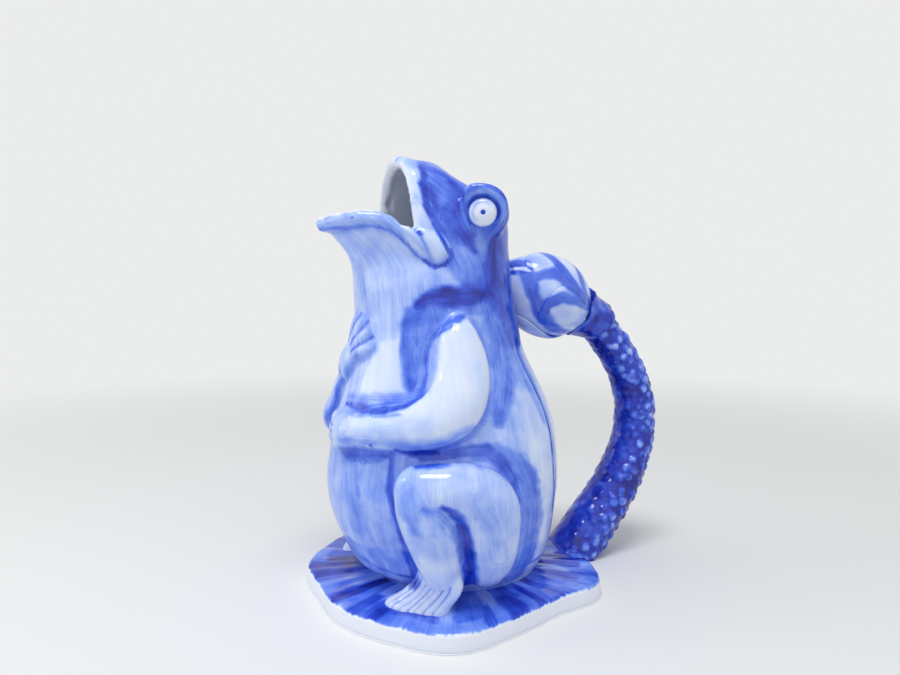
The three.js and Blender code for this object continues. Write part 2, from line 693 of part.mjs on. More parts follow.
// Legs
for (const [word, side] of SIDES) {
  const footForCuts = footSolid(side, LUTE_GAP);
  const legsClear = handsClear.add(padForCuts).add(leftHandForCuts);
  const shin = limbSolid(onSide(SHIN, side)).subtract(legsClear).subtract(footForCuts);
  const thigh = limbSolid(onSide(THIGH, side)).subtract(legsClear).subtract(footForCuts);
  addPiece(`${word}_foot`, footSolid(side).subtract(legsClear), PALE_WASH);
  addPiece(`${word}_shin`, shin, PALE_WASH);
  addPiece(`${word}_thigh`, thigh.subtract(limbSolid(onSide(SHIN, side), LUTE_GAP)), PALE_WASH);
}

// Handle: the stem stands on the table behind the pad, and the bud leans on the nape
const budForCuts = budSolid(LUTE_GAP);
const stemClear = padForCuts.add(skinForCuts).add(budForCuts).add(underTable());
addPiece("handle_stem", stemSolid().subtract(stemClear), COBALT);
addPiece("bud_core", budSolid().subtract(skinForCuts), WHITE);
const wrapped = budForCuts.add(stemSolid(LUTE_GAP)).add(skinForCuts);
addPiece("bud_calyx", calyxSolid().subtract(wrapped), COBALT);
let underPetals = wrapped.add(calyxSolid(LUTE_GAP));
for (let i = 0; i < PETAL_COUNT; i++) {
  const petal = petalSolid(degToRad(PETAL_FIRST_TURN) + (2 * Math.PI * i) / PETAL_COUNT);
  addPiece(`bud_petal_${i + 1}`, petal.subtract(underPetals), WHITE);
  underPetals = underPetals.add(petal);
}

export default frog;
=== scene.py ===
import math

import bmesh
import bpy
import numpy as np
from mathutils import Matrix, Vector, noise
from mathutils.bvhtree import BVHTree


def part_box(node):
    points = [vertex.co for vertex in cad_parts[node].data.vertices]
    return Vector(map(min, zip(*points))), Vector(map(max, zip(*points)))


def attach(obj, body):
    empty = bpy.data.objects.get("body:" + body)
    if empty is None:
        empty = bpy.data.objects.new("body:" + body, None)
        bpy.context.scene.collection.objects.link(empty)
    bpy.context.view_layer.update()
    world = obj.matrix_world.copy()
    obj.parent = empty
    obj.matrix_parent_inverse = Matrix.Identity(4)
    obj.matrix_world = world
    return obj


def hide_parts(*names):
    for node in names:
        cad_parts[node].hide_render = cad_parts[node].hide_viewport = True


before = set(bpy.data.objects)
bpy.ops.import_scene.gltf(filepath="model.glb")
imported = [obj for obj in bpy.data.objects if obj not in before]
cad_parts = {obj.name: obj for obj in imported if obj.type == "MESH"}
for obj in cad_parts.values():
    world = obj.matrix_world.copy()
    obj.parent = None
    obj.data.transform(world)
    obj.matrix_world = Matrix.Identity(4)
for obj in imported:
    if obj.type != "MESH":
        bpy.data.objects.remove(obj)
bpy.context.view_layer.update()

# The lily pad: a thick slab of clay, rolled out and trimmed by hand, that the frog sits on.
# Its top is brushed with cobalt in broad strokes from the middle outwards.
# Its edge is left bare of colour, so that it fires white.
MM = 0.001
PAD_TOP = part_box("lily_pad")[1].z
PAD_AROUND = 440
PAD_RINGS = 96
PAD_EDGE_BLEND = math.radians(4)
PAD_EDGE_SAMPLES = 9
PAD_TRIM = 0.7 * MM
# The section of the pad, from under its middle out to the edge and back over the top:
# how far in from the edge, and how high
PAD_SECTION = np.array([
    (80, 0), (30, 0), (2, 0), (0.7, 0.3), (0.2, 1.2), (0, 3), (0.1, 5.5), (0.3, 7.6), (0.9, 8.9),
    (2.2, 9.5), (5, 9.8), (12, 10.1), (30, 10.5), (50, 10.5), (80, 10.5),
]) * MM
# The top is uneven above these heights: furrows grow from the middle outwards, and dents near the edge
PAD_TOP_FROM = np.array((7.5, 9)) * MM
PAD_RIPPLE = 0.5 * MM
PAD_FURROWS = 10.8
PAD_FURROW_LENGTH = 80 * MM
PAD_FURROWS_GROW = 40 * MM
PAD_DENT = 9 * MM
PAD_DENTED = np.array((50, 75)) * MM
# The strokes on the top: long ones from the middle, and short ones in from the edge
PAD_STROKES = 54
PAD_SHORT_STROKES = 70
PAD_SHORT_REACH = 16 * MM
PAD_SHORT_LEAST = 0.4
PAD_SHORT_ENDS = 3 * MM
PAD_SHORT_COVER = 0.8
PAD_STROKE_LAP = 0.72
PAD_STROKE_BEND = 0.006
PAD_TONES = (0.4, 1.0)
PAD_CLOUDS = 0.1
PAD_BRUSH_GIRTH = 70 * MM
# The top is darker round the stem's foot: where that is, how much darker, and where that fades
STEM_FOOT_Y = 85 * MM
STEM_FOOT_EXTRA = 0.25
STEM_FOOT_FADE = np.array((10, 42)) * MM
# A band brushed along the edge in front of the left foot: its turns from the front, and its inner edge
PAD_BAND_TURNS = (37, 46, 70, 78)
PAD_BAND_EDGE = np.array((8, 11)) * MM
PAD_BAND_STRAY = 2.5 * MM
PAD_BAND_TONE = 0.55
PAD_BAND_COVER = 0.9
# The paint ends just below the rim of the top, in the marks of single hairs of the brush
PAD_PAINT_FROM = 8 * MM
PAD_PAINT_SOFT = 1.1 * MM
PAD_PAINT_IN = 0.6 * MM
PAD_HAIRS = 75
PAD_HAIR_REACH = 0.7 * MM
PAD_HAIR_STRAY = 0.8 * MM


class Paint:
    """One socket of a material's node tree. Arithmetic on it adds the Math nodes that it takes."""

    def __init__(self, tree, socket=None):
        self.tree = tree
        self.socket = socket

    def node(self, kind, settings, sockets, output=0):
        made = self.tree.nodes.new("ShaderNode" + kind)
        for name, value in settings.items():
            if name == "stops":
                self.set_stops(made.color_ramp.elements, value)
            else:
                setattr(made, name, value)
        for name, value in sockets.items():
            if isinstance(value, Paint):
                self.tree.links.new(value.socket, made.inputs[name])
            else:
                made.inputs[name].default_value = value
        return Paint(self.tree, made.outputs[output] if made.outputs else None)

    @staticmethod
    def set_stops(elements, stops):
        while len(elements) < len(stops):
            elements.new(1.0)
        for element, (position, colour) in zip(elements, stops):
            element.position = position
            element.color = (*colour, 1.0)

    def maths(self, operation, first, second):
        return self.node("Math", {"operation": operation}, {0: first, 1: second})

    def __add__(self, other):
        return self.maths("ADD", self, other)

    def __radd__(self, other):
        return self.maths("ADD", other, self)

    def __sub__(self, other):
        return self.maths("SUBTRACT", self, other)

    def __rsub__(self, other):
        return self.maths("SUBTRACT", other, self)

    def __mul__(self, other):
        return self.maths("MULTIPLY", self, other)

    def __rmul__(self, other):
        return self.maths("MULTIPLY", other, self)


# Cobalt under the glaze, from none to the thickest coat
COBALT_STOPS = (
    (0.00, (0.78, 0.81, 0.89)),
    (0.15, (0.57, 0.68, 0.94)),
    (0.30, (0.37, 0.50, 0.92)),
    (0.45, (0.205, 0.335, 0.87)),
    (0.60, (0.098, 0.205, 0.79)),
    (0.75, (0.034, 0.102, 0.66)),
    (0.90, (0.006, 0.030, 0.46)),
    (1.00, (0.002, 0.009, 0.25)),
)
BARE_BELOW = 0.06
# The marks of the brush, in millimetres across and along a stroke: hairs, tufts, and pools of wash
HAIR_MARK = (0.7, 20)
TUFT_MARK = (3.2, 34)
POOL_MARK = (11, 22)
POOL_CLOUD = 9 * MM
# The marks fade out towards no cobalt, and towards this much of it
MARKS_END = 1.35
# The skin of the glaze: the sizes of its swells, ripples and pinholes, and how they share its height
GLAZE_SWELL = 10 * MM
GLAZE_RIPPLE = 4 * MM
RIPPLE_SHARE = 0.3
GLAZE_PINHOLE = 0.7 * MM
PINHOLE_SHARE = 0.02
GLAZE_HEIGHT = 0.6 * MM
GLAZE_UNEVEN = 0.35
GLAZE_IOR = 1.5
GLOSS_CLOUD = 11 * MM
GLOSS_UNEVEN = 0.05


def cobalt_glaze(name, streaks, mottle, roughness=0.09, bare_roughness=0.09):
    """Brushed cobalt under a clear glaze. The piece's own attributes give how much cobalt lies
    where, and the way of the brush, in millimetres across and along its strokes."""
    material = bpy.data.materials.new(name)
    material.use_nodes = True
    tree = material.node_tree
    tree.nodes.clear()
    paint = Paint(tree)
    cobalt = paint.node("Attribute", {"attribute_name": "cobalt"}, {}, "Fac")
    brush = paint.node("Attribute", {"attribute_name": "brush"}, {}, "Vector")
    place = paint.node("TexCoord", {}, {}, "Object")

    def bristles(across, along, detail):
        stretched = paint.node("Mapping", {}, {"Vector": brush, "Scale": (1 / across, 1 / along, 1)})
        return paint.node("TexNoise", {}, {"Vector": stretched, "Scale": 1.0, "Detail": detail}) - 0.5

    def clouds(size, detail):
        return paint.node("TexNoise", {}, {"Vector": place, "Scale": 1 / size, "Detail": detail}) - 0.5

    hairs = bristles(*HAIR_MARK, 3.0)
    tufts = bristles(*TUFT_MARK, 3.0)
    pools = bristles(*POOL_MARK, 4.0) + clouds(POOL_CLOUD, 5.0)
    grip = cobalt * (MARKS_END - cobalt)
    laid = cobalt + grip * ((hairs + tufts) * streaks + pools * mottle)
    colour = paint.node("ValToRGB", {"stops": COBALT_STOPS}, {"Fac": laid}, "Color")
    height = clouds(GLAZE_SWELL, 1.0) + clouds(GLAZE_RIPPLE, 1.0) * RIPPLE_SHARE
    height = height + clouds(GLAZE_PINHOLE, 2.0) * PINHOLE_SHARE
    bump = paint.node(
        "Bump", {}, {"Height": height, "Strength": GLAZE_UNEVEN, "Distance": GLAZE_HEIGHT}, "Normal")
    bare = paint.node(
        "MapRange", {}, {"Value": cobalt, "From Max": BARE_BELOW, "To Min": 1, "To Max": 0})
    gloss = roughness + bare * (bare_roughness - roughness) + clouds(GLOSS_CLOUD, 4.0) * GLOSS_UNEVEN
    shader = paint.node("BsdfPrincipled", {}, {
        "Base Color": colour, "Roughness": gloss, "Normal": bump, "IOR": GLAZE_IOR,
    })
    paint.node("OutputMaterial", {}, {"Surface": shader})
    return material


def between_rows(rows, at):
    """Smooth values between the rows of a table, whose first column is the sorted key."""
    keys, values = rows[:, 0], rows[:, 1:]
    order = np.arange(len(keys))
    before = np.maximum(order - 1, 0)
    after = np.minimum(order + 1, len(keys) - 1)
    slopes = (values[after] - values[before]) / (keys[after] - keys[before])[:, None]
    at = np.clip(at, keys[0], keys[-1])
    row = np.clip(np.searchsorted(keys, at, side="right") - 1, 0, len(keys) - 2)
    step = (keys[row + 1] - keys[row])[:, None]
    share = (at - keys[row])[:, None] / step
    rise = values[row + 1] - values[row]
    slope_in, slope_out = slopes[row] * step, slopes[row + 1] * step
    bend = (3 * rise - 2 * slope_in - slope_out) * share ** 2
    return values[row] + slope_in * share + bend + (slope_in + slope_out - 2 * rise) * share ** 3


def evenly_keyed(rows):
    """The rows of a table, with keys from 0 to 1 put before them."""
    return np.column_stack([np.linspace(0, 1, len(rows)), rows])


def stepped(low, high, values):
    """A soft step from 0 at low to 1 at high."""
    share = np.clip((values - low) / (high - low), 0, 1)
    return share * share * (3 - 2 * share)


def mixed(first, second, share):
    return first + (second - first) * share


SEED_STEP = (7.3, 3.1, 5.7)


def wander(points, size, seed):
    """A smooth seeded unevenness from about -1 to 1 at each point, whose swells are about size long."""
    shift = Vector([seed * step for step in SEED_STEP])
    return np.array([noise.noise(Vector(point) / size + shift) for point in points])


WELD = 1e-7


def closed_bmesh(points_at, around, along):
    """A grid bent round until it closes: points_at gives the places for shares around and along."""
    bm = bmesh.new()
    made = bmesh.ops.create_grid(bm, x_segments=around, y_segments=along, size=0.5)["verts"]
    shares = np.array([vert.co for vert in made]) + 0.5
    for vert, place in zip(made, points_at(shares[:, 0], shares[:, 1])):
        vert.co = place
    bmesh.ops.remove_doubles(bm, verts=made, dist=WELD)
    bmesh.ops.recalc_face_normals(bm, faces=bm.faces)
    return bm


def mesh_of(bm, name):
    mesh = bpy.data.meshes.new(name)
    bm.to_mesh(mesh)
    bm.free()
    return mesh


def coordinates(mesh):
    places = np.empty(len(mesh.vertices) * 3, np.float32)
    mesh.vertices.foreach_get("co", places)
    return places.reshape(-1, 3).astype(float)


def brush_ways(across, along):
    """The brush's way at each point, in millimetres, from lengths across and along its strokes."""
    return np.stack([across, along, np.zeros(len(across))], axis=1) / MM


def glazed_piece(name, mesh, material, slot, cobalt, brush, node):
    """Makes a finished piece: its cobalt, the way of the brush, and its place on the frame."""
    mesh.name = name
    mesh.shade_smooth()
    amount = mesh.attributes.new("cobalt", "FLOAT", "POINT")
    amount.data.foreach_set("value", np.clip(cobalt, 0, 1).astype(np.float32))
    ways = mesh.attributes.new("brush", "FLOAT_VECTOR", "POINT")
    ways.data.foreach_set("vector", brush.astype(np.float32).ravel())
    mesh.materials.clear()
    mesh.materials.append(material)
    piece = bpy.data.objects.new(name, mesh)
    bpy.context.scene.collection.objects.link(piece)
    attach(piece, "root")
    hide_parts(node)
    return piece


# The solid's edge, as a smooth reach for every turn from the front towards the frog's left
solid_pad = coordinates(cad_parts["lily_pad"].data)
solid_rim = solid_pad[np.abs(solid_pad[:, 2] - PAD_TOP / 2) < PAD_TOP / 3]
rim_turns = np.arctan2(solid_rim[:, 0], -solid_rim[:, 1])
rim_reach = np.hypot(solid_rim[:, 0], solid_rim[:, 1])
rim_order = np.argsort(rim_turns)


def pad_reach(turns):
    near = [np.interp(turns + shift, rim_turns[rim_order], rim_reach[rim_order], period=2 * math.pi)
            for shift in np.linspace(-PAD_EDGE_BLEND, PAD_EDGE_BLEND, PAD_EDGE_SAMPLES)]
    return np.mean(near, axis=0) - PAD_TRIM


def pad_headings(turns):
    return np.stack([np.sin(turns), -np.cos(turns), np.zeros(len(turns))], axis=1)


def pad_points(around, along):
    turns = 2 * math.pi * around
    section = between_rows(evenly_keyed(PAD_SECTION), along)
    reach = np.maximum(pad_reach(turns) - section[:, 0], 0) * (along % 1 > 0)
    heading = pad_headings(turns)
    points = heading * reach[:, None]
    upper = stepped(*PAD_TOP_FROM, section[:, 1])
    furrows = wander(heading * PAD_FURROWS + points / PAD_FURROW_LENGTH, 1.0, 1)
    furrows *= stepped(0, PAD_FURROWS_GROW, reach)
    dents = np.minimum(wander(points, PAD_DENT, 2), 0) * stepped(*PAD_DENTED, reach)
    points[:, 2] = np.maximum(section[:, 1] + upper * (furrows + dents) * PAD_RIPPLE, 0)
    return points


def stroke_tones(shares, count, seed):
    """Tones from 0 to 1 of count brush strokes laid side by side, each over the edge of the last."""
    tones = np.random.default_rng(seed).uniform(0, 1, count)
    number = np.floor(shares * count).astype(int)
    lap = stepped(PAD_STROKE_LAP, 1, shares * count - number)
    return mixed(tones[number % count], tones[(number + 1) % count], lap)


pad_mesh = mesh_of(closed_bmesh(pad_points, PAD_AROUND, PAD_RINGS), "lily_pad_slab")
pad_places = coordinates(pad_mesh)
pad_turns = np.arctan2(pad_places[:, 0], -pad_places[:, 1])
pad_from_middle = np.hypot(pad_places[:, 0], pad_places[:, 1])
pad_from_edge = pad_reach(pad_turns) - pad_from_middle
pad_shares = pad_turns / (2 * math.pi) + 0.5 + PAD_STROKE_BEND * wander(pad_places, 16 * MM, 3)
long_strokes = stroke_tones(pad_shares, PAD_STROKES, 1)
short_strokes = stroke_tones(pad_shares, PAD_SHORT_STROKES, 2)
short_start = pad_from_edge - PAD_SHORT_REACH * (PAD_SHORT_LEAST + short_strokes)
short_share = PAD_SHORT_COVER * (1 - stepped(0, PAD_SHORT_ENDS, short_start))
pad_tones = mixed(*PAD_TONES, mixed(long_strokes, short_strokes, short_share))
pad_tones += PAD_CLOUDS * wander(pad_places, 10 * MM, 4)
from_stem = np.hypot(pad_places[:, 0], pad_places[:, 1] - STEM_FOOT_Y)
pad_tones += STEM_FOOT_EXTRA * (1 - stepped(*STEM_FOOT_FADE, from_stem))
pad_degrees = np.degrees(pad_turns)
in_band = stepped(*PAD_BAND_TURNS[:2], pad_degrees) * (1 - stepped(*PAD_BAND_TURNS[2:], pad_degrees))
band_place = pad_from_edge + PAD_BAND_STRAY * wander(pad_places, 9 * MM, 5)
in_band *= 1 - stepped(*PAD_BAND_EDGE, band_place)
pad_tones = mixed(pad_tones, PAD_BAND_TONE, PAD_BAND_COVER * in_band)
hairs = wander(pad_headings(pad_turns) * PAD_HAIRS, 1.0, 6) * PAD_HAIR_REACH
hairs += wander(pad_places, 6 * MM, 7) * PAD_HAIR_STRAY
on_top = stepped(0, PAD_PAINT_SOFT, pad_places[:, 2] - PAD_PAINT_FROM + hairs)
on_top *= stepped(0, PAD_PAINT_IN, pad_from_edge)
glazed_piece(
    "lily_pad_slab", pad_mesh, cobalt_glaze("pad_cobalt", 0.6, 0.6, 0.1, 0.4), "cobalt_glaze",
    pad_tones * on_top, brush_ways(pad_turns * PAD_BRUSH_GIRTH, pad_from_middle), "lily_pad")

# The frog's casting: body and head are one hollow shell, slip cast in a mould, open at the mouth.
# The skin is an outline in level sections, drawn in at the snout, with a dome for each eye.
# It is sponged smooth before firing, so every edge of it is soft.
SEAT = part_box("body_shell")[0].z
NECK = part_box("head_shell")[0].z
WALL = 5 * MM
SKIN_BELOW_SEAT = 2 * MM
SKIN_AROUND = 144
SKIN_ALONG = 170
CLAY_GRAIN = 1.35 * MM
SPONGE_STROKES = 6
SPONGE_PRESS = 0.5
# Height above the seat, then the section's middle, front and back along Y, and its half width
SKIN = np.array([
    (0, 1, -46, 47, 45),  # foot
    (7, -2, -57, 52, 50),  # hip
    (17, -4, -63, 55, 54),  # low belly
    (33, -6.5, -69.8, 57.5, 57),  # belly
    (50, -7.5, -73, 59.5, 58),  # widest
    (73, -7, -70.6, 58.5, 55),  # waist
    (89, -6.5, -67, 54.5, 51),  # ribs
    (106, -7.5, -62, 46.5, 46),  # chest
    (121, -10, -59, 39, 42),  # collar
    (139, -11.5, -57.5, 35, 39),  # neck
    (155, -12.5, -58, 32.5, 37),  # throat
    (166, -12.5, -59, 31.5, 35.5),  # gullet
    (174, -12, -62, 30.5, 34.5),  # jaw root
    (180, -11, -67, 30, 34),  # jaw
    (185, -9, -72, 30, 33.5),  # chin
    (189, -7, -78, 29.5, 33),  # lip
    (197, -4, -82, 27.5, 30.5),  # cheek
    (205, -8, -78, 17, 27.5),  # eye line
    (213.5, -16, -66, -2.5, 23),  # brow
    (219, -22, -57, -9, 17.5),  # crown
    (223, -26, -48, -14.2, 10.5),  # peak
    (225, -30, -30, -30, 0),  # top
]) * MM
SKIN_TOP = SKIN[-1, 0]
SNOUT_PINCH = 0.15
# The gape, seen from the side: the lower lip's line, and the lean of the arch over it
LIP_LINE = np.array([(-100, 187), (-77, 188), (-57, 190.5), (-41, 186), (-25, 172)]) * MM
MOUTH_Y, MOUTH_UP = LIP_LINE[-1]
ARCH_LEAN = 8.5 * MM
# The thumb draws the mouth's corners forward and down, and its pull fades away from them
CORNER_Y, CORNER_UP = -33 * MM, 189.5 * MM
CORNER_PULL = 3.4 * MM
PULL_FADES_Y = 9 * MM
PULL_FADES_UP = 7 * MM
PULL_FADES_ABOVE = 18 * MM
SIDES = {"left": 1, "right": -1}
EYE_DOME = Vector((23, 5, 195)) * MM
EYE_DOME_RADIUS = 15 * MM
DOME_AROUND = 40
DOME_RINGS = 28
DOME_CUT = 27 * MM


def skin_points(turns, ups):
    mid, front, back, side = between_rows(SKIN, ups).T
    ahead = np.cos(turns)
    reach = np.where(ahead > 0, mid - front, back - mid)
    snout = np.clip((ups + SEAT - NECK) / (MOUTH_UP + SEAT - NECK), 0, 1)
    across = side * (1 - SNOUT_PINCH * snout * np.maximum(ahead, 0)) * np.sin(turns)
    return np.stack([across, mid - reach * ahead, SEAT + ups], axis=1)


def whole_skin(around, along):
    ups = np.clip((along * (SKIN_ALONG + 1) - 1) / SKIN_ALONG, 0, 1) * (SKIN_TOP + SKIN_BELOW_SEAT)
    points = skin_points(2 * math.pi * around, ups - SKIN_BELOW_SEAT)
    foot = between_rows(SKIN, np.zeros(1))[0, 0]
    points[along == 0] = (0, foot, SEAT - SKIN_BELOW_SEAT)
    return points


def in_gape(point):
    up = point.z - SEAT
    arch_y = MOUTH_Y - ARCH_LEAN * (up - MOUTH_UP) / (SKIN_TOP - MOUTH_UP)
    lip_up = between_rows(LIP_LINE, np.array([point.y]))[0, 0]
    return up > lip_up and point.y < arch_y


def pull_corners(bm):
    """Draws the mouth's corners forward and down."""
    for vert in bm.verts:
        above = vert.co.z - SEAT - CORNER_UP
        near = math.exp(-((vert.co.y - CORNER_Y) / PULL_FADES_Y) ** 2) * CORNER_PULL
        forward = near * math.exp(-(above / (PULL_FADES_ABOVE if above > 0 else PULL_FADES_UP)) ** 2)
        down = near * math.exp(-(above / PULL_FADES_UP) ** 2)
        vert.co -= Vector((0, forward, down))


def evaluated(mesh, modifiers):
    """The mesh with these modifiers applied, each given as its kind and settings."""
    holder = bpy.data.objects.new("wet_clay", mesh)
    bpy.context.scene.collection.objects.link(holder)
    for kind, settings in modifiers:
        modifier = holder.modifiers.new(kind.lower(), kind)
        for name, value in settings.items():
            setattr(modifier, name, value)
    graph = bpy.context.evaluated_depsgraph_get()
    made = bpy.data.meshes.new_from_object(holder.evaluated_get(graph))
    bpy.data.objects.remove(holder)
    bpy.data.meshes.remove(mesh)
    return made


def outer_skin(mesh):
    """The mesh without the skins of pockets of air that are closed in between lumps."""
    bm = bmesh.new()
    bm.from_mesh(mesh)
    bpy.data.meshes.remove(mesh)
    bm.verts.ensure_lookup_table()
    unseen = set(range(len(bm.verts)))
    skins = []
    while unseen:
        ahead = [unseen.pop()]
        skin = []
        while ahead:
            vert = bm.verts[ahead.pop()]
            skin.append(vert)
            around = {edge.other_vert(vert).index for edge in vert.link_edges} & unseen
            unseen -= around
            ahead.extend(around)
        skins.append(skin)
    skins.sort(key=len)
    pockets = [vert for skin in skins[:-1] for vert in skin]
    bmesh.ops.delete(bm, geom=pockets, context="VERTS")
    return mesh_of(bm, "skin")


def sponged(bm, name):
    """Clay pressed together and sponged: one skin round all the solids, with soft creases."""
    return outer_skin(evaluated(mesh_of(bm, name), [
        ("REMESH", {"mode": "VOXEL", "voxel_size": CLAY_GRAIN, "adaptivity": 0}),
        ("SMOOTH", {"factor": SPONGE_PRESS, "iterations": SPONGE_STROKES}),
    ]))


skin_bm = closed_bmesh(whole_skin, SKIN_AROUND, SKIN_ALONG + 1)
gape = [face for face in skin_bm.faces if in_gape(face.calc_center_median())]
pull_corners(skin_bm)
skin_tree = BVHTree.FromBMesh(skin_bm)
bmesh.ops.delete(skin_bm, geom=gape, context="FACES")
open_skin_tree = BVHTree.FromBMesh(skin_bm)
shell_mesh = evaluated(mesh_of(skin_bm, "shell"), [("SOLIDIFY", {"thickness": WALL, "offset": -1})])


def on_side(place, side):
    """A place above the seat on the frog's left, or its mirror image on the right."""
    return Vector((side * place.x, place.y, SEAT + place.z))


def cut_rim(bm, geom, place, normal, cleared):
    """Cuts a mesh at a plane and clears one side of it. Gives the edges of the cut."""
    cut = bmesh.ops.bisect_plane(bm, geom=geom, plane_co=place, plane_no=normal, **{cleared: True})
    return [item for item in cut["geom_cut"] if isinstance(item, bmesh.types.BMEdge)]


def shell_and_domes():
    bm = bmesh.new()
    bm.from_mesh(shell_mesh)
    for side in SIDES.values():
        dome = bmesh.ops.create_uvsphere(
            bm, u_segments=DOME_AROUND, v_segments=DOME_RINGS, radius=EYE_DOME_RADIUS)["verts"]
        bmesh.ops.translate(bm, verts=dome, vec=on_side(EYE_DOME, side))
        faces = {face for vert in dome for face in vert.link_faces}
        edges = {edge for vert in dome for edge in vert.link_edges}
        rim = cut_rim(bm, [*dome, *edges, *faces], (side * DOME_CUT, 0, 0), (-side, 0, 0), "clear_outer")
        bmesh.ops.holes_fill(bm, edges=rim, sides=0)
    return bm


casting = sponged(shell_and_domes(), "casting")

# The brushwork on the casting. Places are turns round the frog from its front, in degrees towards its
# left, and heights above its seat, in millimetres. A wash fills an outline, with edges that fade over
# soft millimetres; a stroke follows a path, and its softness is the share of its width that fades.
skin_layers = []


def both_sides(points):
    points = np.array(points, float)
    return [points, points * (-1, 1)]


def wash(layers, outline, cobalt, soft):
    """Fills an outline, and its mirror image on the other side."""
    layers.extend((points, None, cobalt, soft) for points in both_sides(outline))


def one_stroke(layers, path, widths, cobalt, soft):
    path = np.array(path, float)
    layers.append((path, np.broadcast_to(widths, len(path)), cobalt, soft))


def stroke(layers, path, widths, cobalt, soft):
    """Draws a stroke, and its mirror image on the other side."""
    for points in both_sides(path):
        one_stroke(layers, points, widths, cobalt, soft)


# Chest: a patch left almost white between the hand and the shoulder, partly a painted highlight where the
# chest's broad reflection falls
wash(skin_layers, (
    (28, 127), (36, 129), (46, 130), (48, 116), (51, 104), (36.5, 101), (22, 97), (18, 98), (18, 107),
    (24, 119),
), 0.11, 2.5)
# Shoulder: a dark hood over each arm, from the forearm up and back to the nape, partly a blue band and
# partly painted shadow cast by the head
wash(skin_layers, (
    (52, 103), (48, 113), (45.5, 124), (47, 132), (51, 140), (57.5, 148), (66, 154), (77, 156.5), (98, 158),
    (122, 156), (122, 143), (90, 141), (72, 136), (62, 125), (58, 108),
), 0.56, 2.5)
stroke(skin_layers, ((52, 106), (51, 116), (51, 128), (55, 138), (62, 145)), (8, 9, 8, 8, 6), 0.64, 0.8)
# Head and nape
wash(skin_layers, (
    (76, 226), (73, 208), (72, 197), (75, 187), (79, 179), (82, 172), (81, 166), (84, 160), (100, 152),
    (115, 140), (180, 128), (180, 226),
), 0.62, 3)
wash(skin_layers, ((86, 178), (96, 182), (113, 178), (110, 168), (94, 164), (87, 168)), 0.52, 8)
wash(skin_layers, (
    (120, 195), (113, 178), (108, 165), (100, 159), (90, 157), (86, 153), (104, 149), (112, 146),
    (118, 138), (124, 122), (180, 128), (180, 195),
), 0.8, 5)
stroke(skin_layers, ((50, 126), (51, 136), (55, 142), (61, 147)), (6, 9, 11, 10), 0.7, 0.9)
stroke(skin_layers, ((59, 146.5), (65, 149.5), (73, 150.8), (83, 150.5), (93, 150), (104, 152)),
       (5, 9, 13, 13.5, 13, 8), 0.93, 0.7)
stroke(skin_layers, ((74, 208), (72.5, 197), (75, 187), (79, 180), (83, 172)), 4.5, 0.84, 0.6)
stroke(skin_layers, ((78, 196), (83, 189), (89, 184), (95, 179), (101, 174)), (5, 7, 8, 7, 5), 0.82, 0.8)
stroke(skin_layers, ((91, 210), (86, 202), (86, 195), (90, 188), (97, 183)), (4, 5, 6, 6, 5), 0.86, 0.7)
stroke(skin_layers, ((80, 218), (90, 216), (94, 212), (90, 206)), 6, 0.78, 0.8)
stroke(skin_layers, ((84, 205), (80, 196), (82, 186), (88, 178)), 3, 0.72, 1)
stroke(skin_layers, ((124, 190), (118, 178), (116, 164), (112, 152)), (5, 8, 9, 8), 0.92, 0.8)
stroke(skin_layers, ((150, 205), (150, 180), (152, 140)), 14, 0.84, 0.8)
# Back: streaks run down from the nape, and fine lines edge the flanks
stroke(skin_layers, ((110, 148), (113, 127), (109, 112), (103, 100), (97, 88)),
       (18, 18, 17, 15, 8), 0.62, 0.6)
stroke(skin_layers, ((130, 132), (127, 108), (131, 84)), (16, 11, 6), 0.52, 1)
stroke(skin_layers, ((133, 126), (133, 108), (135.5, 94), (136, 78), (136, 57), (139, 33)), 2.6, 0.7, 0.7)
stroke(skin_layers, ((150, 125), (152, 95), (154, 60)), (16, 12, 5), 0.54, 1)
stroke(skin_layers, ((172, 126), (174, 80), (174, 30)), (14, 12, 6), 0.57, 1)
# Belly and throat: soft uneven patches, the one on the throat partly painted shade under the chin, and a
# thin line round the foot
stroke(skin_layers, ((22, 68), (25, 50), (28, 30), (33, 16)), 14, 0.5, 1)
stroke(skin_layers, ((4, 66), (5, 40), (8, 18)), 10, 0.42, 1)
stroke(skin_layers, ((37, 62), (37, 45), (39, 28)), 7, 0.44, 1)
stroke(skin_layers, ((12, 166), (16, 150), (24, 132)), 9, 0.36, 1)
stroke(skin_layers, ((16, 15), (28, 12), (38, 10.5), (46, 10), (80, 9), (105, 10), (140, 9)), 2.2, 0.7, 0.9)

# What is luted to the casting: each lump of wet clay by the name of its solid, with the cobalt on its
# crown. The brushwork over the lumps is laid after that on the casting.
clay = {}
crown_cobalt = {}
top_layers = []
# Lines that are scored in the wet clay: their paths, half width and depth
scores = []

# Lips: rolls of clay over the mouth's raw edge, drawn out past its corners.
# They are left pale, with a thin line of cobalt along their outer edge and painted shade along the parting
# between them.
LUTE = 0.35 * MM
LOOSE_WELD = 1e-6
LIP_PARED = 2.4 * MM
PIT = Vector((24.9, -31.2, 202.7)) * MM
PIT_RADIUS = 2.6 * MM
ROLL_AROUND = 40
ROLL_ALONG = 60
ROLL_BLUNT = 5
ROLL_SWELL = 0.7 * MM
SMALL_TURN = 0.01
SMALL_RISE = 0.5 * MM
SHORTEST = 1e-12
# A roll's stations: turn, height, lift off the skin, half width and half depth
MOUTH_CORNER = (
    (62, 188, 0.3, 4.5, 2.6), (69, 181, 0.6, 6.5, 3), (75, 174.5, 0.6, 6, 2.8), (80, 170, 0.2, 4, 2.2),
)
# The line that parts the lips at each corner
LIP_PARTING = both_sides(((64.5, 186), (67.5, 180.5), (69, 175.5), (70, 171), (71, 168)))
PARTING_HALF_WIDTH = 1.5 * MM
PARTING_DEPTH = 1.2 * MM


def unit(vectors):
    """The vectors at a length of 1, save any that have none."""
    return vectors / np.maximum(np.linalg.norm(vectors, axis=1), SHORTEST)[:, None]


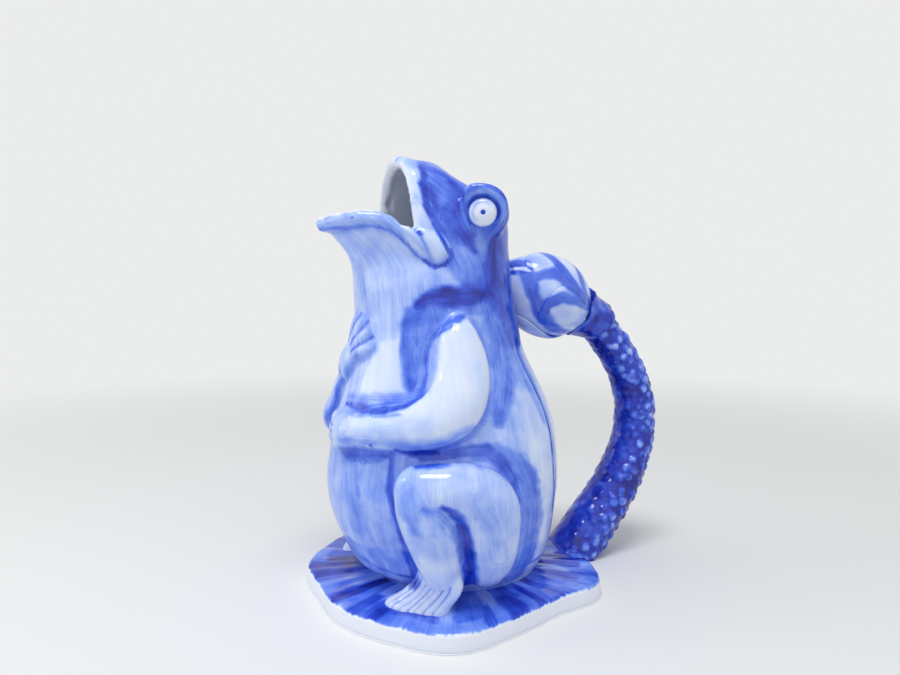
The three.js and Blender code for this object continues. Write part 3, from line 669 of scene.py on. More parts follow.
def on_skin(rows, side=1):
    """A roll's stations as rows of key, centre, outward direction, half width and half depth."""
    turns, ups, lifts, wides, deeps = np.array(rows, float).T
    turns, ups = np.radians(turns * side), ups * MM
    around = skin_points(turns + SMALL_TURN, ups) - skin_points(turns - SMALL_TURN, ups)
    rising = skin_points(turns, ups + SMALL_RISE) - skin_points(turns, ups - SMALL_RISE)
    out = unit(np.cross(around, rising))
    centres = skin_points(turns, ups) + out * lifts[:, None] * MM
    return evenly_keyed(np.column_stack([centres, out, wides * MM + ROLL_SWELL, deeps * MM + ROLL_SWELL]))


def way_along(rows, t):
    """How the values of a table change over a short step along it."""
    return between_rows(rows, t + SMALL_TURN) - between_rows(rows, t - SMALL_TURN)


def clay_roll(stations):
    def roll_points(around, along):
        angles = 2 * math.pi * around
        t = (1 - np.cos(math.pi * along)) / 2
        swell = np.sqrt(np.maximum(1 - np.abs(2 * t - 1) ** ROLL_BLUNT, 0))
        here = between_rows(stations, t)
        ahead = way_along(stations, t)[:, :3]
        across = unit(np.cross(ahead, here[:, 3:6]))
        upward = unit(np.cross(across, ahead))
        wide = here[:, 6] * swell * np.cos(angles)
        deep = here[:, 7] * swell * np.sin(angles)
        return here[:, :3] + across * wide[:, None] + upward * deep[:, None]
    return closed_bmesh(roll_points, ROLL_AROUND, ROLL_ALONG)


def joined(pieces):
    """Several lumps as one."""
    together = bmesh.new()
    for bm in pieces:
        mesh = mesh_of(bm, "lump")
        together.from_mesh(mesh)
        bpy.data.meshes.remove(mesh)
    return together


def wetted_copy(node):
    """A copy of a small solid, swollen by the slip that lutes it on."""
    bm = bmesh.new()
    bm.from_mesh(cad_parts[node].data)
    bmesh.ops.remove_doubles(bm, verts=bm.verts, dist=LOOSE_WELD)
    bm.normal_update()
    for vert in bm.verts:
        vert.co += vert.normal * LUTE
    return bm


upper_roll = wetted_copy("upper_lip")
for vert in upper_roll.verts:
    inward = (Vector((0, vert.co.y, SEAT + CORNER_UP)) - vert.co).normalized().dot(vert.normal)
    vert.co -= vert.normal * LIP_PARED * max(inward, 0)
# Slip fills the pit that is left on each side between the pared lip and the rim of the casting
for side in SIDES.values():
    bmesh.ops.create_icosphere(
        upper_roll, subdivisions=3, radius=PIT_RADIUS, matrix=Matrix.Translation(on_side(PIT, side)))
corner_rolls = [clay_roll(on_skin(MOUTH_CORNER, side)) for side in SIDES.values()]
clay["lower_lip"] = wetted_copy("lower_lip")
clay["upper_lip"] = joined([upper_roll, *corner_rolls])
pull_corners(clay["lower_lip"])
pull_corners(clay["upper_lip"])
crown_cobalt.update({"lower_lip": 0.25, "upper_lip": 0.12})
scores.append((LIP_PARTING, PARTING_HALF_WIDTH, PARTING_DEPTH))
# Painted shade along the parting between the lips: a broad grey strip, and a darker line in the groove
stroke(top_layers, ((57, 186), (63, 181), (67, 175), (70.5, 169.5)), (3, 4, 4, 3), 0.34, 1)
stroke(top_layers, ((65, 185), (67.5, 180.5), (69, 175.5), (70, 171)), 1.4, 0.44, 0.9)
stroke(top_layers, (
    (0, 185.5), (14, 185.5), (27, 185.5), (41, 186.5), (50, 184.5), (56, 178.5), (62, 171.5), (70, 166.5),
), 2, 0.62, 0.6)
stroke(top_layers, ((66, 169), (72, 166), (79, 167), (83, 170), (83.5, 174)), 2.4, 0.85, 0.6)
stroke(top_layers, ((79, 218), (73, 208), (71.5, 197), (74.5, 187), (78.5, 179.5), (82, 173)), 2, 0.85, 0.6)
# A dark pool in the left corner of the mouth, and a speck on the lower lip
one_stroke(top_layers, ((66.6, 183.8), (67.6, 182.2)), 2.4, 0.8, 0.7)
one_stroke(top_layers, ((36.3, 190.5), (36.6, 190.5)), 1.3, 0.95, 0.5)

# Eyelids: a thick brow of clay over each eye, thinning to a narrow rim under it.
# The brow is brushed mid blue, with a dark line over it and a shadowed inner edge.
EYE_FORWARD_TURN = math.radians(24)
EYE_DROP = math.radians(4)
EYEBALL_RADIUS = 7.3 * MM
LID_AROUND = 40
LID_ALONG = 96
# The lid's middle line off its gap, and how far its crown stands out, in half thicknesses
LID_OFF_GAP = 0.85
LID_CROWN = 1.1
LID_TONE = 0.46
# Round the eye, in degrees from its top towards its back: the lid's half thickness, its gap off the
# ball, and how far it stands out
LID_ROWS = np.array([
    (-180, 0.4, 0, -2.8), (-115, 0.4, 0, -2.8), (-92, 0.8, 0.5, -1.8), (-68, 1.5, 1.1, -0.8),
    (-48, 2.7, 2.1, 0), (-28, 3.4, 2.4, 0.3), (0, 3.1, 2, 0.3), (45, 2.9, 1.9, 0.3), (90, 2.3, 1.5, 0),
    (125, 1.4, 0.8, -1.2), (155, 0.4, 0, -2.8), (180, 0.4, 0, -2.8),
])


def eye_frame(side):
    """The middle of an eye, then its gaze, its upward and its backward directions."""
    gaze = Vector((
        side * math.cos(EYE_FORWARD_TURN) * math.cos(EYE_DROP),
        -math.sin(EYE_FORWARD_TURN) * math.cos(EYE_DROP), -math.sin(EYE_DROP)))
    socket = on_side(EYE_DOME, side) + gaze * EYE_DOME_RADIUS
    back = (side * gaze.cross(Vector((0, 0, 1)))).normalized()
    back = back if back.y > 0 else -back
    upward = gaze.cross(back).normalized()
    return socket, gaze, upward if upward.z > 0 else -upward, back


def eyelid(side):
    socket, gaze, upward, back = (np.array(item) for item in eye_frame(side))

    def lid_points(around, along):
        turns = 2 * math.pi * (along - 0.5)
        angles = 2 * math.pi * around
        thick, gap, depth = between_rows(LID_ROWS, 360 * along - 180).T * MM
        heading = np.outer(np.cos(turns), upward) + np.outer(np.sin(turns), back)
        away = EYEBALL_RADIUS + gap + thick * (LID_OFF_GAP + np.cos(angles))
        out = depth + LID_CROWN * thick * np.sin(angles)
        return socket + heading * away[:, None] + np.outer(out, gaze)

    return closed_bmesh(lid_points, LID_AROUND, LID_ALONG)


for word, side in SIDES.items():
    clay[word + "_eyelid"] = eyelid(side)
    crown_cobalt[word + "_eyelid"] = LID_TONE

# Arms and hands: rolls of clay, laid on the casting while both are wet and luted with slip.
# The left forearm lies across the belly, and the right hand is spread on the chest.
# They are left pale, with dark strokes along their creases and between the fingers, and painted shade along
# the left arm's outer edge, under its forearm and on the right arm.
LEFT_ARM = (
    (85, 143, -1, 8, 6), (83, 130, 2, 11.5, 8), (81, 112, 3, 13.5, 9.5), (75, 98, 4, 14, 10),
    (66, 90.5, 4, 13, 9.5), (54, 87.5, 3.5, 11.5, 8.5), (40, 86.5, 3, 10.5, 7.5), (27, 85, 2.5, 9.8, 6.8),
    (17, 83.5, 2, 9, 6),
)
RIGHT_ARM = (
    (-85, 143, -1, 8, 6), (-80, 128, 2, 11.5, 8), (-66, 106, 3, 13, 9), (-47, 89, 2.5, 11.8, 8.2),
    (-33, 83.5, 2.2, 10.8, 7.8), (-29, 94, 1.2, 9.2, 6), (-23, 105, 0.8, 8.5, 5.2), (-14, 114, 0, 8, 4.6),
)
LEFT_PALM = ((26, 85, 1.5, 8, 5.5), (15, 82.5, 1.2, 9.5, 5), (4, 80.5, 0.6, 8, 3.8))
RIGHT_PALM = ((-20, 110, 0.8, 7.5, 5), (-8, 117, 0.6, 8.5, 4.6), (4, 123, 0, 7, 3))
# Where each hand's fingers end
LEFT_FINGER_TIPS = ((-12, 88.5), (-14, 81.5), (-8, 75), (3, 70))
RIGHT_FINGER_TIPS = ((5, 143), (14, 141), (23, 135), (27, 126))
# A finger's stations, as shares of the way from palm to tip, its lift off the skin, and its radii
FINGER_SHARES = (0, 0.55, 1)
FINGER_LIFT = 0.3
FINGER_RADII = (2.8, 2.6, 1.6)
# The strokes between the fingers, over these shares of the way
WEB_SHARES = (0.4, 1.0)
WEB_WIDTHS = (1.4, 3)
WEB_TONE = 0.74
WEB_SOFT = 0.7


def hand(palm, tips):
    """A palm with its fingers. Strokes of the brush mark the webs between them."""
    root = np.array(palm[1][:2], float)
    tips = np.array(tips, float)
    digits = []
    for tip in tips:
        stops = [mixed(root, tip, share) for share in FINGER_SHARES]
        digits.append(clay_roll(on_skin([
            (*stop, FINGER_LIFT, radius, radius) for stop, radius in zip(stops, FINGER_RADII)])))
    for cleft in (tips[:-1] + tips[1:]) / 2:
        web = [mixed(root, cleft, share) for share in WEB_SHARES]
        one_stroke(top_layers, web, WEB_WIDTHS, WEB_TONE, WEB_SOFT)
    return joined([clay_roll(on_skin(palm)), *digits])


clay["left_arm"] = clay_roll(on_skin(LEFT_ARM))
clay["right_arm"] = clay_roll(on_skin(RIGHT_ARM))
clay["left_hand"] = hand(LEFT_PALM, LEFT_FINGER_TIPS)
clay["right_hand"] = hand(RIGHT_PALM, RIGHT_FINGER_TIPS)
# The right arm and hand are coated darker than the left, as painted shade on the side turned from the light
crown_cobalt.update({"left_arm": 0.10, "right_arm": 0.3, "left_hand": 0.28, "right_hand": 0.26})
# Inner groove of the left arm, then the pool along the top of its forearm
left_groove = np.array((
    (88, 142), (80, 139.5), (72, 135), (65, 130), (61.5, 123), (60, 113), (58, 106), (54, 100)))
one_stroke(top_layers, left_groove, (2, 5, 7, 7, 7, 7, 7, 5), 0.5, 0.7)
one_stroke(top_layers, left_groove + (1.5, 0), (2, 4, 4, 2.2, 1.8, 1.8, 2.2, 3), 0.68, 0.6)
one_stroke(top_layers, ((60, 104), (53, 101), (45, 100.5), (35, 100), (23, 99), (6, 99)),
           (4, 8, 9, 9, 8, 5), 0.5, 0.9)
one_stroke(top_layers, ((60, 103), (53, 98.5), (45, 96.5), (35, 95.5), (23, 95), (6, 95)),
           (2, 3.5, 5, 5, 5, 3), 0.78, 0.7)
one_stroke(top_layers, ((52, 95), (42, 93.5), (30, 92.5), (16, 92)), 2.4, 0.4, 0.9)
# Outer edge of the left arm, with painted shade from shoulder to elbow and under the forearm, and a dark
# speck
one_stroke(top_layers, (
    (92, 141), (99, 133), (101.5, 122), (99, 110), (94, 99), (89, 90), (82, 83), (74, 79.5), (64, 77),
), (3, 5, 6, 5.5, 5, 5, 5, 4.5, 4), 0.5, 0.6)
one_stroke(top_layers, ((76, 80), (64, 77), (52, 76.5), (40, 75.5), (28, 75), (16, 74)),
           (3, 4, 5, 5, 5, 4), 0.55, 0.9)
one_stroke(top_layers, ((14, 72), (22, 71.5), (31, 72), (40, 73), (45, 73.5)), (6, 9, 9, 7, 4), 0.76, 0.6)
one_stroke(top_layers, ((50, 77), (55, 75.5), (60, 75.5), (66, 75)), (4, 5.5, 6, 4), 0.86, 0.7)
one_stroke(top_layers, ((38, 79), (38.4, 79)), 2, 0.9, 0.5)
one_stroke(top_layers, ((62, 90), (48, 88), (34, 87), (20, 86)), 12, 0.22, 1)
# Painted shade along the underside of the forearm
one_stroke(top_layers, ((18, 79), (30, 80), (44, 80.5), (58, 80), (70, 82), (80, 88)),
           (7, 10, 11, 11, 10, 7), 0.45, 1)
# The right arm's creases, and painted shade under its wrist
one_stroke(top_layers, ((13, 121), (7, 116.5), (1, 111), (-4, 106)), (3, 6, 7, 5), 0.6, 0.9)
one_stroke(top_layers, ((-98, 136), (-95, 120), (-80, 98), (-58, 79), (-42, 73), (-28, 73)), 6, 0.55, 0.8)
one_stroke(top_layers, ((-66, 134), (-60, 124), (-53, 113), (-43, 102), (-37, 105), (-24, 119)),
           5, 0.6, 0.8)
one_stroke(top_layers, ((-9, 112), (-12, 107), (-16, 100), (-19, 90), (-24, 78)),
           (4, 6, 6, 6, 5), 0.66, 0.8)
one_stroke(top_layers, ((-10, 90), (-12, 84), (-11, 77), (-4, 72)), (4, 6, 6, 4), 0.66, 0.8)

# Legs and feet: the thighs are flat rolls along the flanks, the shins stand in front of them,
# and each foot is a webbed fan that spreads over the pad, scored between the toes.
# They are left pale, with broad dark strokes round them and painted shade in the folds.
THIGH_ROWS = (
    (86.5, 5, 1, 9, 6), (87, 18, 3, 14, 9), (87.5, 35, 5, 15.3, 11), (86, 49, 6, 16, 12),
    (79, 56, 7, 14.5, 12), (70, 58.5, 8, 12.5, 11.5), (61, 58.8, 8.5, 12, 11), (54.8, 59.8, 7.8, 11.6, 10),
    (50.5, 60.6, 6.5, 11.4, 9),
)
SHIN_ROWS = (
    (59.5, 69, 7, 11.5, 9.5), (60.3, 56, 9.5, 12.5, 10.5), (62.3, 45, 9.5, 12.2, 10),
    (64.3, 34, 8.5, 11.3, 9.5), (65.2, 22, 6.5, 9.9, 9), (65.5, 11, 5.5, 9.2, 8.5),
)
# The slip that fills the fold between thigh and shin
FOLD_ROWS = ((70, 57, 7, 8, 9), (75, 45, 4.5, 6.5, 7), (76, 25, 2.5, 6.5, 5.5), (75.5, 8, 1.5, 6.5, 5))
# The left foot's sections: place across and along the frog, height, half width, and depth outward
FOOT_ROWS = (
    (53, -31, 27, 9.4, 7.5), (53.2, -32.1, 18, 10.4, 5.8), (53.4, -33.2, 12, 12.6, 4.6),
    (51.9, -36.1, 7, 14, 3.9), (49.4, -39.3, 3, 15.2, 5), (47.2, -41.6, 0, 16.4, 7.4),
    (47.2, -41.6, -6, 16.4, 7.4),
)
FOOT_ACROSS = Vector((0.727, 0.687, 0)).normalized()
FOOT_OUT = Vector((0.687, -0.727, 0)).normalized()
FOOT_SQUARE = 2.7
FOOT_AROUND = 96
FOOT_ALONG = 48
FOOT_CUTS = 2
# The clefts between toes, as shares of the half width, and how hard each is drawn
TOE_CLEFTS = ((-0.8, 0.7), (-0.6, 1), (-0.33, 0.6), (-0.1, 0.9), (0.1, 0.5), (0.4, 1), (0.67, 0.8))
TOE_CLEFT_WIDTH = 0.6 * MM
TOE_CLEFT_DEPTH = 0.32 * MM
TOE_CLEFT_STRAY = 1 * MM
TOE_CLEFTS_FADE = np.array((9, 24)) * MM
TOE_CLEFT_COBALT = 0.36


def webbed_foot(side):
    """A fan of clay that widens from the ankle to the toes, in level sections."""
    rows = evenly_keyed(np.array(FOOT_ROWS, float) * MM)

    def foot_points(around, along):
        angles = 2 * math.pi * around
        here = between_rows(rows, np.clip((along * (FOOT_ALONG + 2) - 1) / FOOT_ALONG, 0, 1))
        aside, out = np.cos(angles), np.sin(angles)
        square = (np.abs(aside) ** FOOT_SQUARE + np.abs(out) ** FOOT_SQUARE) ** (-1 / FOOT_SQUARE)
        square *= (along > 0) & (along < 1)
        aside, out = aside * square * (here[:, 3] + ROLL_SWELL), out * square * (here[:, 4] + ROLL_SWELL)
        across = here[:, 0] + aside * FOOT_ACROSS.x + out * FOOT_OUT.x
        along_frog = here[:, 1] + aside * FOOT_ACROSS.y + out * FOOT_OUT.y
        return np.stack([side * across, along_frog, SEAT + here[:, 2]], axis=1)

    return closed_bmesh(foot_points, FOOT_AROUND, FOOT_ALONG + 2)


def toe_clefts(places, side):
    """How deep in a cleft between toes each point of a foot lies, from 0 to 1."""
    rows = np.array(FOOT_ROWS, float)[::-1] * MM
    ups = places[:, 2] - SEAT
    across, along, half = between_rows(rows[:, (2, 0, 1, 3)], ups).T
    off = (side * places[:, 0] - across) * FOOT_ACROSS.x + (places[:, 1] - along) * FOOT_ACROSS.y
    off += wander(places, 9 * MM, 15) * TOE_CLEFT_STRAY
    lines = [hard * np.exp(-((off - share * half) / TOE_CLEFT_WIDTH) ** 2) for share, hard in TOE_CLEFTS]
    return np.max(lines, axis=0) * (1 - stepped(*TOE_CLEFTS_FADE, ups))


for word, side in SIDES.items():
    thigh, fold, shin = (clay_roll(on_skin(rows, side)) for rows in (THIGH_ROWS, FOLD_ROWS, SHIN_ROWS))
    clay[word + "_thigh"] = joined([thigh, fold])
    clay[word + "_shin"] = shin
    clay[word + "_foot"] = webbed_foot(side)
    crown_cobalt.update({word + "_thigh": 0.27, word + "_shin": 0.29, word + "_foot": 0.12})
# The ankle passes into the pale foot
wash(top_layers, ((57, 27), (66, 29), (72, 26), (71, 0), (48, 0)), 0.13, 9)
# Round the thigh: a broad band, darkest along its top, then painted shade between shin and belly and in the
# fold between thigh and shin
stroke(top_layers, ((84, 74), (94, 73.5), (103, 66), (109.5, 55), (112.5, 38), (111.5, 20), (107, 8)),
       (8, 10, 18, 23, 24.5, 23, 17), 0.58, 0.35)
stroke(top_layers, ((60, 72.5), (67, 73.5), (75, 75), (83, 76), (89, 75.5), (96, 70), (102, 60), (105, 48)),
       (4, 5, 6, 7, 7.5, 7, 6, 4), 0.76, 0.6)
stroke(top_layers, ((45.3, 75), (45.3, 66), (45, 57), (47, 48), (49.5, 38), (51, 28), (51, 12)),
       (3, 4, 4.5, 5, 6.5, 8.5, 9), 0.76, 0.6)
stroke(top_layers, ((69, 55), (72, 52.5), (74.5, 47), (75.8, 40), (76.3, 32), (76.5, 22), (76.5, 9)),
       (3, 5.5, 6, 6.5, 7, 7.5, 7.5), 0.86, 0.6)
stroke(top_layers, ((63, 54.5), (68, 52), (71, 46), (73, 38)), (5, 9, 8, 4), 0.54, 1)
stroke(top_layers, ((60, 64), (64, 54), (66, 42)), 6, 0.32, 1)
stroke(top_layers, ((80, 58), (85, 44), (87, 26)), 11, 0.34, 1)
stroke(top_layers, ((57, 64), (58.5, 54), (60.5, 43)), (10, 12, 7), 0.45, 1)

# Luting: the wet lumps are pressed on, and slip fills the creases round them.
# The casting stays whole under them, and each lump's own skin is the part of the luted skin that
# stands off the casting and lies nearest to that lump.
FEATHER = 0.006 * MM
clay_names = list(clay)
clay_points, clay_faces, clay_owner = [], [], []
for number, bm in enumerate(clay.values()):
    bm.verts.index_update()
    first = len(clay_points)
    clay_points += [vert.co.copy() for vert in bm.verts]
    clay_faces += [[first + vert.index for vert in face.verts] for face in bm.faces]
    clay_owner += [number] * len(bm.faces)
luted = sponged(joined([shell_and_domes(), *clay.values()]), "luted")
clay_tree = BVHTree.FromPolygons(clay_points, clay_faces)
casting_tree = BVHTree.FromPolygons(
    coordinates(casting).tolist(), [list(face.vertices) for face in casting.polygons])


def nearest_lumps(places):
    """How far each point is from the nearest lump of clay, and which lump that is."""
    found = [clay_tree.find_nearest(place) for place in places]
    return np.array([hit[3] for hit in found]), np.array([clay_owner[hit[2]] for hit in found])


def vertex_normals(mesh):
    return np.array([vert.normal for vert in mesh.vertices])


luted_places = coordinates(luted)
luted_lifts = np.array([casting_tree.find_nearest(place)[3] for place in luted_places])
luted_owners = np.where(luted_lifts > FEATHER, nearest_lumps(luted_places)[1], -1)

# Scoring: the lips and the toes are parted by lines drawn in the clay with a blunt point.
# A place on the frog is again its turn and its height, and a line is measured along the skin.
# Only the outside is scored, down to these depths under the bare skin.
SCORED_SKIN = np.array((-2.5, -1)) * MM
LEAST_GIRTH = 10


def turns_and_ups(points):
    """Where points lie round the frog, in degrees from its front, and above its seat, in millimetres."""
    ups = points[:, 2] - SEAT
    mid, front, back, side = between_rows(SKIN, ups).T
    reach = np.where(points[:, 1] < mid, mid - front, back - mid)
    turns = np.arctan2(points[:, 0] / np.maximum(side, MM), (mid - points[:, 1]) / np.maximum(reach, MM))
    return np.degrees(turns), ups / MM, np.maximum(side / MM, LEAST_GIRTH)


def skin_heights(places):
    """How high each point stands above the frog's bare skin; less than 0 inside it."""
    heights = np.empty(len(places))
    for index, place in enumerate(places):
        foot, normal, _, _ = skin_tree.find_nearest(place)
        reach = open_skin_tree.find_nearest(place)[3]
        heights[index] = math.copysign(reach, (Vector(place) - foot).dot(normal))
    return heights


def off_path(turns, ups, girth, path):
    """How far each place lies off a path, in millimetres, less than 0 on its right; how many
    points along the path that is; and how far along, in millimetres."""
    nearest = np.full(len(turns), np.inf)
    side, met, run = np.ones(len(turns)), np.zeros(len(turns)), np.zeros(len(turns))
    length = 0.0
    for number, (start, end) in enumerate(zip(path[:-1], path[1:])):
        across, rising = np.radians(turns - start[0]) * girth, ups - start[1]
        way_across, way_rising = math.radians(end[0] - start[0]) * girth, end[1] - start[1]
        way = np.hypot(way_across, way_rising)
        share = np.clip((across * way_across + rising * way_rising) / way ** 2, 0, 1)
        reach = np.hypot(across - share * way_across, rising - share * way_rising)
        closer = reach < nearest
        nearest[closer] = reach[closer]
        side[closer] = np.sign(way_across * rising - way_rising * across)[closer]
        met[closer] = number + share[closer]
        run[closer] = (length + share * way)[closer]
        length = length + way
    return nearest * side, met, run


def scored(mesh):
    """The points of a skin, moved in along the scored lines."""
    places = coordinates(mesh)
    turns, ups, girth = turns_and_ups(places)
    outer = stepped(*SCORED_SKIN, skin_heights(places))
    depth = np.zeros(len(places))
    for paths, half_width, deep in scores:
        for path in paths:
            off = off_path(turns, ups, girth, path)[0] * MM
            depth = np.maximum(depth, deep * np.exp(-(off / half_width) ** 2) * outer)
    return places - vertex_normals(mesh) * depth[:, None]


luted_places = scored(luted)
luted_normals = vertex_normals(luted)
for word, side in SIDES.items():
    on_foot = luted_owners == clay_names.index(word + "_foot")
    depth = TOE_CLEFT_DEPTH * toe_clefts(luted_places[on_foot], side)
    luted_places[on_foot] -= luted_normals[on_foot] * depth[:, None]
for mesh, places in ((luted, luted_places), (casting, scored(casting))):
    mesh.vertices.foreach_set("co", places.astype(np.float32).ravel())
    mesh.update()

# Painting: the cobalt is brushed on the raw glaze, pale on the front, darker on the back and darkest
# on the head, and it pools in the creases, which are also darkened as painted shade. The inside is left
# white. A coat over all of the casting comes first, then its washes and strokes, a coat on each lump's
# crown, and the strokes over the lumps.
BELLY_TONE = 0.4
CHEST_TONE = 0.25
BELLY_TO_CHEST = (84, 108)
# The throat darkens towards the chin, partly as painted shade under it
THROAT_EXTRA = 0.04
CHEST_TO_THROAT = (128, 150)
LOW_BACK_TONE = 0.17
NAPE_TONE = 0.36
LOW_BACK_TO_NAPE = (70, 120)
FRONT_TO_BACK = (92, 120)
COAT_CLOUDS = 0.08
CROWN_CLOUDS = 0.05
CROWN_FADE = np.array((0.4, 1.8)) * MM
# Next to the lumps the creases darken, partly with pooled cobalt and partly as painted shade: how far that
# reaches, its tone and its cover
CREASE = 2.2 * MM
CREASE_POOL_AND_SHADE_TONE = 0.6
CREASE_POOL_AND_SHADE_COVER = 0.6
ON_FOOT = 2 * MM
WHITE_INSIDE = 0.03
INSIDE_FROM = np.array((2, 3.5)) * MM
# The first coat's brush goes up the frog, and leans back over its head
COAT_GIRTH = 50
LEANS_FROM = 165
LEAN = 0.55
# Ragged edges, in swells of two sizes, which a wash takes up less than a stroke
RAGGED = ((0.22, 4 * MM, 11), (0.12, 12 * MM, 12))
WASH_RAGGED = 0.8
STROKE_EDGE = 1.12
# A broad stroke turns the brush its own way where it covers this much, each in a place of its own
BROAD_STROKE = 5
TURNS_BRUSH = 0.4
STROKE_APART = 90
# Round the eye: darker blue under it, painted shade in its socket, and a dark line over the brow
LID_DEEP = 9 * MM
BROW_RISE = np.array((-5, 4)) * MM
BROW_TO_BACK = 0.5
UNDER_EYE_TONE = 0.64
UNDER_EYE_FADE = np.array((9, 13)) * MM
SOCKET_TONE = 0.66
SOCKET_FADE = (1.2, 1.36)
BROW_LINE = 13.5 * MM
BROW_LINE_WIDTH = 1.6 * MM
BROW_LINE_TONE = 0.82
BROW_LINE_COVER = 0.8
frog_glaze = cobalt_glaze("frog_cobalt", 0.75, 1.0)
crowns = np.array([crown_cobalt[name] for name in clay_names])


def inside_outline(turns, ups, outline):
    crossings = np.zeros(len(turns), int)
    for start, end in zip(outline, np.roll(outline, -1, axis=0)):
        spans = (start[1] > ups) != (end[1] > ups)
        rise = end[1] - start[1] if end[1] != start[1] else 1
        crossings += spans & (turns < start[0] + (ups - start[1]) / rise * (end[0] - start[0]))
    return crossings % 2 == 1


def lay(layers, turns, ups, girth, ragged, cobalt, brush):
    """Lays washes and strokes over the cobalt that is there, and turns the brush along the strokes."""
    for number, (path, widths, tone, soft) in enumerate(layers):
        spread = soft if widths is None else max(widths)
        lowest, highest = path[:, 1].min() - spread, path[:, 1].max() + spread
        near = np.flatnonzero((ups > lowest) & (ups < highest))
        if widths is None:
            closed = np.vstack([path, path[:1]])
            off = np.abs(off_path(turns[near], ups[near], girth[near], closed)[0])
            signed = np.where(inside_outline(turns[near], ups[near], path), off, -off)
            cover = stepped(-0.5, 0.5, signed / soft + WASH_RAGGED * ragged[near])
            cobalt[near] = mixed(cobalt[near], tone, cover)
        else:
            off, met, run = off_path(turns[near], ups[near], girth[near], path)
            half = np.interp(met, np.arange(len(path)), widths) / 2
            cover = 1 - stepped(1 - soft, STROKE_EDGE, np.abs(off) / half + ragged[near])
            cobalt[near] = mixed(cobalt[near], np.maximum(cobalt[near], tone), cover)
            if max(widths) > BROAD_STROKE:
                mostly = cover > TURNS_BRUSH
                brush[near[mostly], 0] = off[mostly] + STROKE_APART * (number + 1)
                brush[near[mostly], 1] = run[mostly]


def eye_shaded(cobalt, places, side, lid):
    """The cobalt round one eye, on the points of its lid: darker under it, painted shade in the socket, and
    a dark line over the brow.
    """
    socket, gaze, upward, back = (np.array(item) for item in eye_frame(side))
    off = places - socket
    reach = np.linalg.norm(off - np.outer(off @ gaze, gaze), axis=1)
    raised = stepped(*BROW_RISE, off @ upward + BROW_TO_BACK * (off @ back))
    near_eye = lid * (np.abs(off @ gaze) < LID_DEEP)
    under = near_eye * (1 - raised) * (1 - stepped(*UNDER_EYE_FADE, reach))
    cobalt = mixed(cobalt, UNDER_EYE_TONE, under)
    inner = near_eye * raised * (1 - stepped(*SOCKET_FADE, reach / EYEBALL_RADIUS))
    cobalt = mixed(cobalt, SOCKET_TONE, inner)
    line = near_eye * raised * np.exp(-((reach - BROW_LINE) / BROW_LINE_WIDTH) ** 2)
    return mixed(cobalt, BROW_LINE_TONE, BROW_LINE_COVER * line)


def frog_paint(places):
    """The cobalt on each point of the frog, and the way of the brush there."""
    turns, ups, girth = turns_and_ups(places)
    heights = skin_heights(places)
    gaps, lumps = nearest_lumps(places)
    lean = np.maximum(ups - LEANS_FROM, 0) * LEAN
    brush = np.stack([np.radians(turns) * COAT_GIRTH + lean, ups, np.zeros(len(ups))], axis=1)
    ragged = sum(share * wander(places, size, seed) for share, size, seed in RAGGED)
    front = mixed(BELLY_TONE, CHEST_TONE, stepped(*BELLY_TO_CHEST, ups))
    front += COAT_CLOUDS * wander(places, 20 * MM, 13) + THROAT_EXTRA * stepped(*CHEST_TO_THROAT, ups)
    rear = mixed(LOW_BACK_TONE, NAPE_TONE, stepped(*LOW_BACK_TO_NAPE, ups))
    cobalt = mixed(front, rear, stepped(*FRONT_TO_BACK, np.abs(turns)))
    lay(skin_layers, turns, ups, girth, ragged, cobalt, brush)
    crease_pool_and_shade = np.exp(-(gaps ** 2 + np.maximum(heights, 0) ** 2) / CREASE ** 2)
    crown = crowns[lumps] + CROWN_CLOUDS * wander(places, 14 * MM, 14)
    cobalt = mixed(cobalt, crown, 1 - stepped(*CROWN_FADE, gaps))
    # Pooled cobalt and painted shade darken the creases round the lumps
    cobalt = mixed(cobalt, np.maximum(cobalt, CREASE_POOL_AND_SHADE_TONE), CREASE_POOL_AND_SHADE_COVER * crease_pool_and_shade)
    lay(top_layers, turns, ups, girth, ragged, cobalt, brush)
    for word, side in SIDES.items():
        foot = (lumps == clay_names.index(word + "_foot")) & (gaps < ON_FOOT)
        cobalt[foot] += TOE_CLEFT_COBALT * toe_clefts(places[foot], side)
        cobalt = eye_shaded(cobalt, places, side, lumps == clay_names.index(word + "_eyelid"))
    cobalt = mixed(cobalt, WHITE_INSIDE, stepped(*INSIDE_FROM, -heights))
    return cobalt, brush


def painted_piece(mesh, node):
    cobalt, brush = frog_paint(coordinates(mesh))
    return glazed_piece("glazed_" + node, mesh, frog_glaze, "pale_wash_glaze", cobalt, brush, node)


# The casting is parted at the neck, where the head is luted to the body
casting_bm = bmesh.new()
casting_bm.from_mesh(casting)
for node, cleared in (("body_shell", "clear_outer"), ("head_shell", "clear_inner")):
    half = casting_bm.copy()
    rims = cut_rim(half, [*half.verts, *half.edges, *half.faces], (0, 0, NECK), (0, 0, 1), cleared)
    for edge in rims:
        edge.smooth = False
    bmesh.ops.bridge_loops(half, edges=rims)
    painted_piece(mesh_of(half, node), node)

# Each lump's skin, closed on its inner side. It keeps the luted skin's shading, so no seam shows.
# Ragged borders between lumps are evened first, as a face goes over to most of those beside it.
LUMP_SKIN = 1.6 * MM
BORDER_PASSES = 3
BORDER_MOST = 3
luted.attributes.new("shading", "FLOAT_VECTOR", "POINT").data.foreach_set(
    "vector", vertex_normals(luted).astype(np.float32).ravel())
luted_bm = bmesh.new()
luted_bm.from_mesh(luted)
face_owner = []
for face in luted_bm.faces:
    highest = max((vert.index for vert in face.verts), key=lambda index: luted_lifts[index])
    face_owner.append(luted_owners[highest])
luted_bm.faces.index_update()
for _ in range(BORDER_PASSES):
    for face in luted_bm.faces:
        touching = [other for edge in face.edges for other in edge.link_faces if other is not face]
        beside = [face_owner[other.index] for other in touching]
        common = max(sorted(beside), key=beside.count)
        if common >= 0 and beside.count(common) >= BORDER_MOST:
            face_owner[face.index] = common
